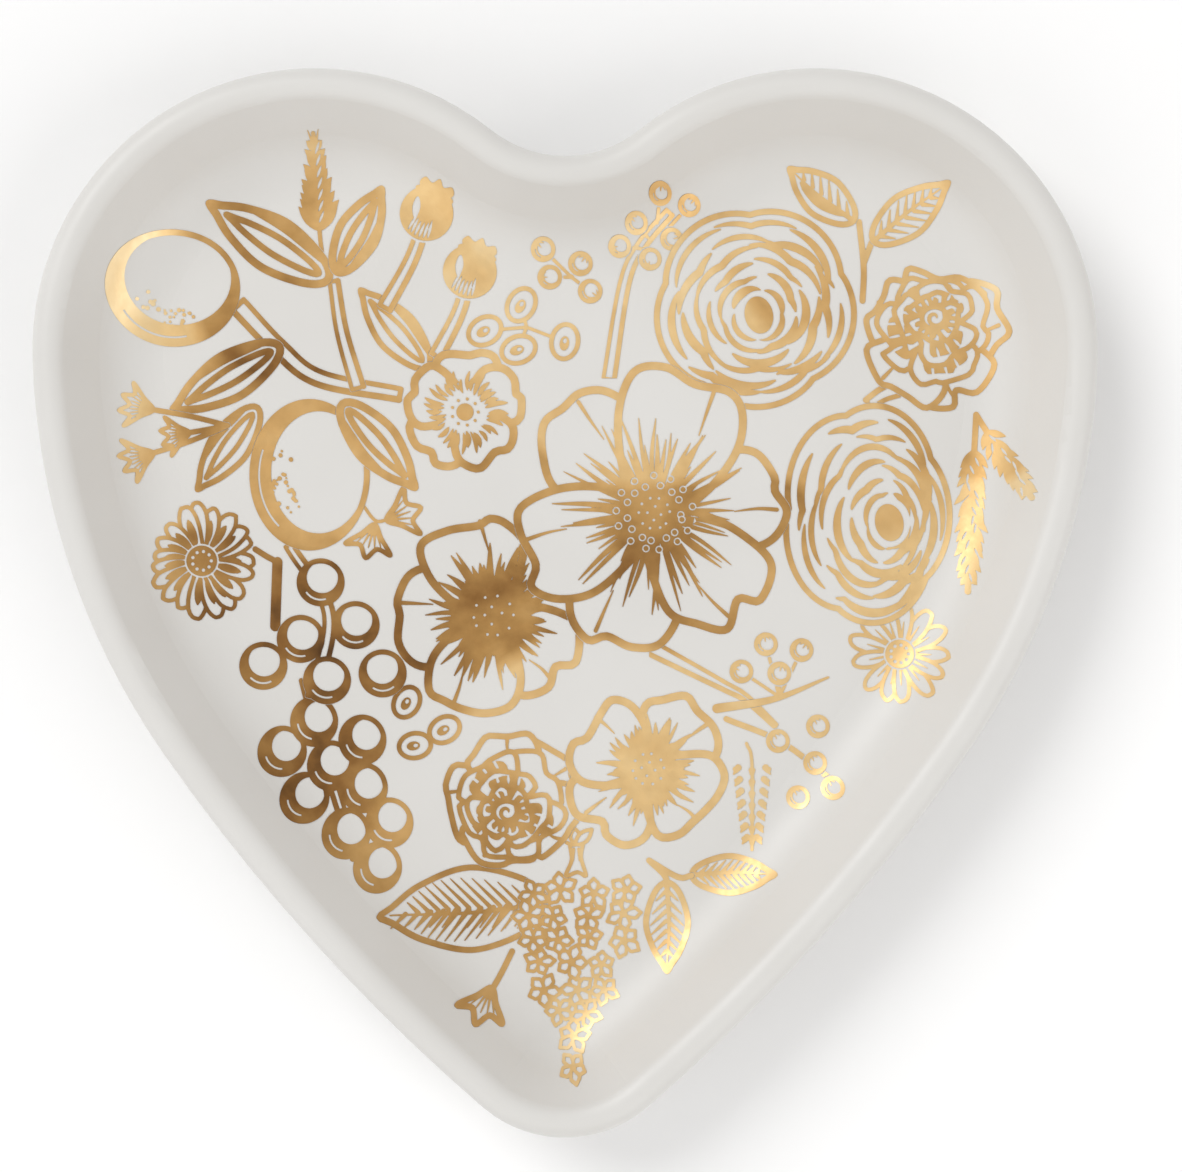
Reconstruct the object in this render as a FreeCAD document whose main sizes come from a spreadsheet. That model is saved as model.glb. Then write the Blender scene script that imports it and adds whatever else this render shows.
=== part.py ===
import FreeCAD, Part
import math
import os

import Sketcher

# A heart-shaped trinket dish: a pressed porcelain body on a bare ground foot ring, a
# glaze fired over it, and a bouquet printed on the inside in thin gold film.
# Millimetres. +Z is up, +Y points to the two lobes, -Y to the tip, and the origin is
# in the middle of the plane that the foot stands on.

DIMS = {
    # rim outline, right-hand half, as tangent arcs from the tip round to the notch
    "tip_radius": 13.7,
    "tip_reach": 57.7,
    "flank_radius": 208.0,
    "hip_radius": 79.0,
    "hip_centre_along": 28.9,
    "lobe_radius": 30.5,
    "lobe_centre_across": 27.0,
    "lobe_centre_along": 27.2,
    "notch_radius": 12.8,
    # wall section, measured over the glaze
    "wall_thickness": 3.9,
    "wall_lean": 50.0,
    "wall_straight": 5.3,
    "cove_radius": 8.6,
    "glaze_thickness": 0.25,
    # foot ring
    "foot_height": 1.6,
    "foot_inset": 13.9,
    "foot_width": 3.0,
    "foot_tip_radius": 4.5,
    "foot_tip_reach": 39.5,
    "foot_rounding": 0.5,
    # gold print
    "film_thickness": 0.08,
    "line_width": 0.75,
    "print_gap": 0.25,
    "smallest_mark": 0.4,
}

# Cells worked out from the driving dimensions, as spreadsheet formulas.
DERIVED = {
    "cove_line": "=wall_thickness / 2 + wall_straight * cos(wall_lean)"
                 " + (cove_radius + wall_thickness / 2) * sin(wall_lean)",
    "floor_top": "=foot_height + wall_thickness",
}

UP = FreeCAD.Vector(0, 0, 1)
START, END, CENTRE = 1, 2, 3
Y_AXIS = -2
BARE_WALL = "dims.wall_thickness - 2 * dims.glaze_thickness"
BARE_BASE = "dims.foot_height + dims.glaze_thickness"
ORIGIN = (-1, 1)


def make_sheet(doc):
    """Driving dimensions first, then the cells worked out from them."""
    sheet = doc.addObject("Spreadsheet::Sheet", "dims")
    cells = [(name, repr(value)) for name, value in DIMS.items()]
    for row, (name, content) in enumerate(cells + list(DERIVED.items()), start=1):
        sheet.set("A%d" % row, name)
        sheet.set("B%d" % row, content)
        sheet.setAlias("B%d" % row, name)
    doc.recompute()
    return sheet


# ---------------------------------------------------------------- heart outline


def circles_meet(first, reach_first, second, reach_second):
    """The left-hand one of the two points at these distances from two centres."""
    gap = math.hypot(second[0] - first[0], second[1] - first[1])
    along = (gap**2 + reach_first**2 - reach_second**2) / (2 * gap)
    aside = math.sqrt(reach_first**2 - along**2)
    east, north = (second[0] - first[0]) / gap, (second[1] - first[1]) / gap
    return min(
        (first[0] + east * along - north * side, first[1] + north * along + east * side)
        for side in (aside, -aside)
    )


def heading(origin, target):
    return math.atan2(target[1] - origin[1], target[0] - origin[0])


def heart_arcs(sheet, inset, tip_radius=None, tip_reach=None):
    """Eight arcs, anticlockwise from the tip: (name, centre, radius, from, to).

    The inset moves every arc inwards. Angles are the arc's ends seen from its centre."""
    tip_r = tip_radius or sheet.tip_radius - inset
    flank_r = sheet.flank_radius - inset
    hip_r = sheet.hip_radius - inset
    lobe_r = sheet.lobe_radius - inset
    notch_r = sheet.notch_radius + inset
    lobe = (sheet.lobe_centre_across, sheet.lobe_centre_along)
    hip_drop = sheet.hip_centre_along - lobe[1]
    hip = (lobe[0] - math.sqrt((hip_r - lobe_r) ** 2 - hip_drop**2), sheet.hip_centre_along)
    tip = (0.0, tip_r - (tip_reach or sheet.tip_reach - inset))
    flank = circles_meet(tip, flank_r - tip_r, hip, flank_r - hip_r)
    notch = (0.0, lobe[1] + math.sqrt((lobe_r + notch_r) ** 2 - lobe[0] ** 2))

    turns = [heading(flank, tip), heading(flank, hip), heading(hip, lobe), heading(lobe, notch)]
    right = [
        ("flank", flank, flank_r, turns[0], turns[1]),
        ("hip", hip, hip_r, turns[1], turns[2]),
        ("lobe", lobe, lobe_r, turns[2], turns[3]),
    ]
    left = [
        (name, (-centre[0], centre[1]), radius, math.pi - end, math.pi - start)
        for name, centre, radius, start, end in reversed(right)
    ]
    tip_arc = ("tip", tip, tip_r, -math.pi - turns[0], turns[0])
    notch_arc = ("notch", notch, notch_r, 2 * math.pi - turns[3], math.pi + turns[3])
    return [tip_arc] + right + [notch_arc] + left


def arc_edge(centre, radius, start, end, height=0.0):
    circle = Part.Circle(FreeCAD.Vector(centre[0], centre[1], height), UP, radius)
    return Part.ArcOfCircle(circle, start, end)


def heart_plate(sheet, inset, low, high, **tip):
    """A flat heart-shaped slab between two heights."""
    edges = [arc_edge(c, r, a, b, low).toShape() for _, c, r, a, b in heart_arcs(sheet, inset, **tip)]
    return Part.Face(Part.Wire(edges)).extrude(UP * (high - low))


# ---------------------------------------------------------------- wall section


def wall_points(sheet, above):
    """Key points (inset, height) of the wall surface that lies `above` the glaze surface."""
    lean = math.radians(sheet.wall_lean)
    centre = (sheet.cove_line, sheet.floor_top + sheet.cove_radius)

    def on_ray(reach, turn, straight=0.0):
        return (
            centre[0] - reach * math.sin(turn) - straight * math.cos(turn),
            centre[1] - reach * math.cos(turn) + straight * math.sin(turn),
        )

    inner = sheet.cove_radius - above
    outer = sheet.cove_radius + sheet.wall_thickness + above
    middle = sheet.cove_radius + sheet.wall_thickness / 2
    lip = on_ray(middle, lean, sheet.wall_straight)
    half = sheet.wall_thickness / 2 + above
    return {
        "under": on_ray(outer, 0.0),
        "under_mid": on_ray(outer, lean / 2),
        "outer_low": on_ray(outer, lean),
        "outer_high": on_ray(outer, lean, sheet.wall_straight),
        "lip_top": (lip[0] - half * math.cos(lean), lip[1] + half * math.sin(lean)),
        "inner_high": on_ray(inner, lean, sheet.wall_straight),
        "inner_low": on_ray(inner, lean),
        "cove_mid": on_ray(inner, lean / 2),
        "floor": on_ray(inner, 0.0),
    }


INSIDE_RUN = [("floor", "cove_mid", "inner_low"), ("inner_low", "inner_high")]
LIP_RUN = [("inner_high", "lip_top", "outer_high")]
OUTSIDE_RUN = [("outer_high", "outer_low"), ("outer_low", "under_mid", "under")]


def run_edges(points, run, place):
    """Edges along the section through named points: two make a line, three an arc."""
    edges = []
    for names in run:
        corners = [place(points[name]) for name in names]
        curve = Part.Arc(*corners) if len(corners) == 3 else Part.LineSegment(*corners)
        edges.append(curve.toShape())
    return edges


def round_the_heart(sheet, run, low, high):
    """A layer of the wall between two surfaces, carried round all eight arcs."""
    upper, lower = wall_points(sheet, high), wall_points(sheet, low)
    pieces = []
    for name, centre, radius, start, end in heart_arcs(sheet, 0.0):
        sign = 1 if name == "notch" else -1

        def place(point):
            return FreeCAD.Vector(centre[0] + radius + sign * point[0], centre[1], point[1])

        first, last = run[0][0], run[-1][-1]
        edges = run_edges(upper, run, place) + run_edges(lower, run, place)
        for corner in (first, last):
            edges.append(Part.LineSegment(place(upper[corner]), place(lower[corner])).toShape())
        face = Part.Face(Part.Wire(Part.__sortEdges__(edges)))
        axis = FreeCAD.Vector(centre[0], centre[1], 0)
        face.rotate(axis, UP, math.degrees(start))
        pieces.append(face.revolve(axis, UP, math.degrees(end - start)))
    return pieces


# ---------------------------------------------------------------- porcelain body


def origin_plane(body, role):
    return next(part for part in body.Origin.OriginFeatures if part.Role == role)


def add_sketch(body, name, role):
    sketch = body.newObject("Sketcher::SketchObject", name)
    sketch.AttachmentSupport = [(origin_plane(body, role), "")]
    sketch.MapMode = "FlatFace"
    return sketch


def bind(sketch, kind, where, value, expression):
    """A dimension that follows the spreadsheet."""
    index = sketch.addConstraint(Sketcher.Constraint(kind, *where, value))
    sketch.setExpression("Constraints[%d]" % index, expression)


def draw_heart(sketch, arcs, inset="0", tip_radius="dims.tip_radius", tip_reach="dims.tip_reach"):
    """A closed heart of eight arcs, tangent all round; the last three are expressions."""
    first = sketch.GeometryCount
    for _, centre, radius, start, end in arcs:
        sketch.addGeometry(arc_edge(centre, radius, start, end), False)
    numbers = range(first, first + len(arcs))
    tip, flank, hip, lobe, notch, lobe_left, hip_left, flank_left = numbers
    joints = [
        (tip, END, flank, START),
        (flank, END, hip, START),
        (hip, END, lobe, START),
        (lobe, END, notch, END),
        (notch, START, lobe_left, START),
        (lobe_left, END, hip_left, START),
        (hip_left, END, flank_left, START),
        (flank_left, END, tip, START),
    ]
    for joint in joints:
        sketch.addConstraint(Sketcher.Constraint("Tangent", *joint))
    for arc in (tip, notch):
        sketch.addConstraint(Sketcher.Constraint("PointOnObject", arc, CENTRE, Y_AXIS))
    for right, left in ((flank, flank_left), (hip, hip_left), (lobe, lobe_left)):
        sketch.addConstraint(Sketcher.Constraint("Equal", right, left))
    for right, left in ((hip, hip_left), (lobe, lobe_left)):
        sketch.addConstraint(Sketcher.Constraint("Horizontal", right, CENTRE, left, CENTRE))
    radius = {number: arc[2] for number, arc in zip(numbers, arcs)}
    centre = {number: arc[1] for number, arc in zip(numbers, arcs)}
    bind(sketch, "Radius", (flank,), radius[flank], "dims.flank_radius - (%s)" % inset)
    bind(sketch, "Radius", (hip,), radius[hip], "dims.hip_radius - (%s)" % inset)
    bind(sketch, "Radius", (lobe,), radius[lobe], "dims.lobe_radius - (%s)" % inset)
    bind(sketch, "Radius", (notch,), radius[notch], "dims.notch_radius + (%s)" % inset)
    bind(sketch, "Radius", (tip,), radius[tip], tip_radius)
    tip_drop = "(%s) - (%s)" % (tip_reach, tip_radius)
    bind(sketch, "DistanceY", (tip, CENTRE, *ORIGIN), -centre[tip][1], tip_drop)
    bind(sketch, "DistanceY", (*ORIGIN, hip, CENTRE), centre[hip][1], "dims.hip_centre_along")
    bind(sketch, "DistanceX", (*ORIGIN, lobe, CENTRE), centre[lobe][0], "dims.lobe_centre_across")
    bind(sketch, "DistanceY", (*ORIGIN, lobe, CENTRE), centre[lobe][1], "dims.lobe_centre_along")


def draw_wall_section(sketch, sheet):
    """The bare wall where the tip crosses the YZ plane: lip, both sides and the floor's edge."""
    points = wall_points(sheet, -sheet.glaze_thickness)

    def place(point):
        return FreeCAD.Vector(point[0] - sheet.tip_reach, point[1], 0)

    def arc(*names):
        return Part.Arc(*[place(points[name]) for name in names])

    def line(*names):
        return Part.LineSegment(*[place(points[name]) for name in names])

    cove = sketch.addGeometry(arc("floor", "cove_mid", "inner_low"), False)
    inside = sketch.addGeometry(line("inner_low", "inner_high"), False)
    lip = sketch.addGeometry(arc("inner_high", "lip_top", "outer_high"), False)
    outside = sketch.addGeometry(line("outer_high", "outer_low"), False)
    under = sketch.addGeometry(arc("outer_low", "under_mid", "under"), False)
    floor_edge = sketch.addGeometry(line("under", "floor"), False)
    # a sketch stores its arcs anticlockwise, so the cove starts at its upper end
    joints = [
        (cove, START, inside, START),
        (inside, END, lip, START),
        (lip, END, outside, START),
        (outside, END, under, START),
    ]
    for joint in joints:
        sketch.addConstraint(Sketcher.Constraint("Tangent", *joint))
    sketch.addConstraint(Sketcher.Constraint("Coincident", under, END, floor_edge, START))
    sketch.addConstraint(Sketcher.Constraint("Coincident", floor_edge, END, cove, END))
    sketch.addConstraint(Sketcher.Constraint("Coincident", cove, CENTRE, under, CENTRE))
    sketch.addConstraint(Sketcher.Constraint("Vertical", floor_edge))
    sketch.addConstraint(Sketcher.Constraint("Vertical", floor_edge, END, cove, CENTRE))
    sketch.addConstraint(Sketcher.Constraint("Parallel", inside, outside))
    bind(sketch, "Radius", (cove,), sheet.cove_radius, "dims.cove_radius + dims.glaze_thickness")
    bare_wall = sheet.wall_thickness - 2 * sheet.glaze_thickness
    bind(sketch, "Distance", (floor_edge,), bare_wall, BARE_WALL)
    floor_run = sheet.tip_reach - sheet.cove_line
    bind(sketch, "DistanceX", (floor_edge, START, *ORIGIN), floor_run, "dims.tip_reach - dims.cove_line")
    bare_base = sheet.foot_height + sheet.glaze_thickness
    bind(sketch, "DistanceY", (*ORIGIN, floor_edge, START), bare_base, BARE_BASE)
    bind(sketch, "Angle", (inside,), math.radians(180 - sheet.wall_lean), "180deg - dims.wall_lean * 1deg")
    bind(sketch, "Distance", (inside,), sheet.wall_straight, "dims.wall_straight")


def make_porcelain_body(doc, sheet):
    """Wall swept round the rim line, floor slab, foot ring, and softened foot edges."""
    body = doc.addObject("PartDesign::Body", "porcelain_body")
    body.Label = "porcelain_body"
    rim = add_sketch(body, "rim_line", "XY_Plane")
    draw_heart(rim, heart_arcs(sheet, 0.0))
    section = add_sketch(body, "wall_section", "YZ_Plane")
    draw_wall_section(section, sheet)
    wall = body.newObject("PartDesign::AdditivePipe", "wall")
    wall.Profile = (section, [""])
    wall.Spine = (rim, [""])
    doc.recompute()

    floor_line = add_sketch(body, "floor_line", "XY_Plane")
    floor_arcs = heart_arcs(sheet, sheet.cove_line)
    inset = "dims.cove_line"
    draw_heart(floor_line, floor_arcs, inset, "dims.tip_radius - " + inset, "dims.tip_reach - " + inset)
    floor_line.setExpression("AttachmentOffset.Base.z", BARE_BASE)
    floor = body.newObject("PartDesign::Pad", "floor")
    floor.Profile = floor_line
    floor.setExpression("Length", BARE_WALL)
    doc.recompute()

    foot_line = add_sketch(body, "foot_line", "XY_Plane")
    draw_heart(foot_line, foot_arcs(sheet, 0.0), "dims.foot_inset", "dims.foot_tip_radius",
               "dims.foot_tip_reach")
    draw_heart(foot_line, foot_arcs(sheet, sheet.foot_width), "dims.foot_inset + dims.foot_width",
               "dims.foot_tip_radius - dims.foot_width", "dims.foot_tip_reach - dims.foot_width")
    foot = body.newObject("PartDesign::Pad", "foot")
    foot.Profile = foot_line
    foot.setExpression("Length", "dims.foot_height + dims.wall_thickness / 2")
    doc.recompute()

    ground = [
        "Edge%d" % number
        for number, edge in enumerate(foot.Shape.Edges, start=1)
        if edge.BoundBox.ZMax < sheet.foot_height / 2
    ]
    softened = body.newObject("PartDesign::Fillet", "foot_softened")
    softened.Base = (foot, ground)
    softened.setExpression("Radius", "dims.foot_rounding")
    doc.recompute()
    return body


def foot_arcs(sheet, further_in):
    return heart_arcs(
        sheet,
        sheet.foot_inset + further_in,
        sheet.foot_tip_radius - further_in,
        sheet.foot_tip_reach - further_in,
    )


# ---------------------------------------------------------------- glaze


def solid_feature(doc, label, shape):
    feature = doc.addObject("Part::Feature", label)
    feature.Label = label
    feature.Shape = shape
    feature.Placement = FreeCAD.Placement()
    return feature


def make_glaze(doc, sheet, body):
    """Glaze on every surface except the foot ring, which splits it in two."""
    thickness = sheet.glaze_thickness
    layers = round_the_heart(sheet, INSIDE_RUN + LIP_RUN + OUTSIDE_RUN, -thickness, 0.0)
    layers.append(heart_plate(sheet, sheet.cove_line, sheet.floor_top - thickness, sheet.floor_top))
    layers.append(heart_plate(sheet, sheet.cove_line, sheet.foot_height, sheet.foot_height + thickness))
    coat = layers[0].multiFuse(layers[1:]).removeSplitter().cut(body.Shape)
    outer, recess = sorted(coat.Solids, key=lambda solid: -solid.Volume)
    return [solid_feature(doc, "glaze_coat", outer), solid_feature(doc, "foot_recess_glaze", recess)]


# ---------------------------------------------------------------- gold print, drawn flat


def joined(shapes):
    return shapes[0].multiFuse(shapes[1:]) if len(shapes) > 1 else shapes[0]


def oval(centre, half_across, half_along, turn=0.0):
    """A filled ellipse. The turn is in degrees, anticlockwise."""
    if abs(half_across - half_along) < 1e-6:
        curve = Part.Circle(FreeCAD.Vector(), UP, half_across)
    else:
        curve = Part.Ellipse(FreeCAD.Vector(), max(half_across, half_along), min(half_across, half_along))
        turn += 90 if half_along > half_across else 0
    face = Part.Face(Part.Wire(curve.toShape()))
    face.rotate(FreeCAD.Vector(), UP, turn)
    face.translate(FreeCAD.Vector(centre[0], centre[1], 0))
    return face


def capsule(start, end, width):
    """A straight line of the print, with round ends."""
    start, end = FreeCAD.Vector(*start, 0), FreeCAD.Vector(*end, 0)
    along = (end - start).normalize() * (width / 2)
    aside = UP.cross(along)
    edges = [
        Part.LineSegment(start - aside, end - aside).toShape(),
        Part.Arc(end - aside, end + along, end + aside).toShape(),
        Part.LineSegment(end + aside, start + aside).toShape(),
        Part.Arc(start + aside, start - along, start - aside).toShape(),
    ]
    return Part.Face(Part.Wire(edges))


def stroke(points, width):
    return joined([capsule(start, end, width) for start, end in zip(points, points[1:])])


def lens(base, tip, width):
    """A leaf blade: two arcs from the base to the tip."""
    base, tip = FreeCAD.Vector(*base, 0), FreeCAD.Vector(*tip, 0)
    middle = (base + tip) * 0.5
    aside = UP.cross((tip - base).normalize()) * (width / 2)
    edges = [Part.Arc(base, middle - aside, tip).toShape(), Part.Arc(tip, middle + aside, base).toShape()]
    return Part.Face(Part.Wire(edges))


def along_line(start, end, share):
    return tuple(a + (b - a) * share for a, b in zip(start, end))


class Print:
    """One motif: its gold lines, and the cover that hides what lies behind it."""

    # A flower's petals, as shares of its radius.
    PETAL_MIDDLE = 0.62
    PETAL_DEPTH = 0.38
    PETAL_SPREAD = 0.62
    PETAL_EXTRA = 0.08
    CORE = 0.6
    SPOKE_END = 0.66
    ROSETTE_EYE = 0.2
    ROSETTE_RING = 0.45
    # The finer lines inside a motif, as shares of its outline's width.
    FINE = 0.7
    VEIN = 0.6
    # A fruit's shaded side, in line widths: how far its lit part is off centre and how much smaller.
    SHADE_SHIFT = 1.1
    SHADE_WIDTH = 2.0
    # A leaf's inside: its ends and midrib, in line widths and shares of its length.
    LEAF_POINT = 1.8
    MIDRIB_END = 0.8
    FIRST_VEIN = 0.15
    VEIN_SPAN = 0.6

    def __init__(self, sheet):
        self.line = sheet.line_width
        self.gap = sheet.print_gap
        self.art = []
        self.cover = []

    def bloom(self, centre, radii, petals, eye=0.24, turn=0.0):
        """A flower seen from above: scalloped outline, petal lines and a ring in the middle."""
        mean = (radii[0] + radii[1]) / 2
        wide = mean * (math.sin(math.pi / petals) * self.PETAL_SPREAD + self.PETAL_EXTRA)
        outline, inside, hidden, spokes = [], [], [], []
        for step in range(petals):
            angle = turn + 360.0 * step / petals
            east = radii[0] * math.cos(math.radians(angle))
            north = radii[1] * math.sin(math.radians(angle))
            middle = (centre[0] + self.PETAL_MIDDLE * east, centre[1] + self.PETAL_MIDDLE * north)
            deep = self.PETAL_DEPTH * math.hypot(east, north)
            outline.append(oval(middle, deep, wide, angle))
            inside.append(oval(middle, deep - self.line, wide - self.line, angle))
            hidden.append(oval(middle, deep + self.gap, wide + self.gap, angle))
            between = math.radians(angle + 180.0 / petals)
            ray = (radii[0] * math.cos(between), radii[1] * math.sin(between))
            near = tuple(c + r * eye for c, r in zip(centre, ray))
            far = tuple(c + r * self.SPOKE_END for c, r in zip(centre, ray))
            spokes.append(capsule(near, far, self.line * self.FINE))
        core = oval(centre, radii[0] * self.CORE, radii[1] * self.CORE)
        self.art.append(joined(outline + [core]).cut(joined(inside + [core])))
        self.art.append(self.ring(centre, radii[0] * eye, radii[1] * eye))
        self.art += spokes
        self.cover += hidden + [core]

    def ring(self, centre, across, along):
        return oval(centre, across, along).cut(oval(centre, across - self.line, along - self.line))

    def rosette(self, centre, radii, petals, turn=0.0):
        """A full flower of packed petals: a bloom with one more ring round its middle."""
        self.bloom(centre, radii, petals, self.ROSETTE_EYE, turn)
        self.art.append(self.ring(centre, *(radius * self.ROSETTE_RING for radius in radii)))

    def fruit(self, centre, radii):
        """A round fruit: outline and a shaded crescent at the lower left."""
        shift = self.SHADE_SHIFT * self.line
        lit = (centre[0] + shift, centre[1] + shift)
        inner = oval(lit, *(radius - self.SHADE_WIDTH * self.line for radius in radii))
        self.art.append(oval(centre, *radii).cut(inner))
        self.cover.append(oval(centre, *(radius + self.gap for radius in radii)))

    def leaf(self, base, tip, width, veins=0):
        """A leaf: outline, midrib and slanting veins."""
        length = math.dist(base, tip)
        end_share = self.LEAF_POINT * self.line / length
        inner_base = along_line(base, tip, end_share)
        inner_tip = along_line(base, tip, 1 - end_share)
        blade = lens(base, tip, width)
        hollow = lens(inner_base, inner_tip, max(width - 2 * self.line, self.line))
        self.art.append(blade.cut(hollow))
        midrib_tip = along_line(base, tip, self.MIDRIB_END)
        self.art.append(capsule(inner_base, midrib_tip, self.line * self.FINE))
        reach = self.VEIN * width
        forward = tuple(reach * (t - b) / length for b, t in zip(base, tip))
        for step in range(veins):
            root = along_line(base, tip, self.FIRST_VEIN + self.VEIN_SPAN * step / veins)
            for side in (-1, 1):
                end = (root[0] + forward[0] - side * forward[1], root[1] + forward[1] + side * forward[0])
                self.art.append(capsule(root, end, self.line * self.VEIN).common(blade))
        clear = 2 * self.gap / length
        hidden_base, hidden_tip = along_line(base, tip, -clear), along_line(base, tip, 1 + clear)
        self.cover.append(lens(hidden_base, hidden_tip, width + 2 * self.gap))

    def stem(self, *points):
        self.art.append(stroke(points, self.line))
        self.cover.append(stroke(points, self.line + 2 * self.gap))

    def berries(self, radius, *centres):
        for centre in centres:
            self.art.append(oval(centre, radius, radius))
            self.cover.append(oval(centre, radius + self.gap, radius + self.gap))

    def florets(self, radius, *centres):
        """Small open rings."""
        for centre in centres:
            self.art.append(self.ring(centre, radius, radius))
            self.cover.append(oval(centre, radius + self.gap, radius + self.gap))


# The lilac hangs as a tapering head of small florets.
LILAC = {"floret": 1.55, "tip": (0.8, -49.6), "rows": 7, "widest": 4, "across": 3.25, "along": 2.9}


def lilac_places():
    places = []
    for row in range(LILAC["rows"]):
        count = min(row + 1, LILAC["widest"])
        north = LILAC["tip"][1] + LILAC["along"] * row
        first = LILAC["tip"][0] - LILAC["across"] * (count - 1) / 2
        places += [(first + LILAC["across"] * step, north) for step in range(count)]
    return places


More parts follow.
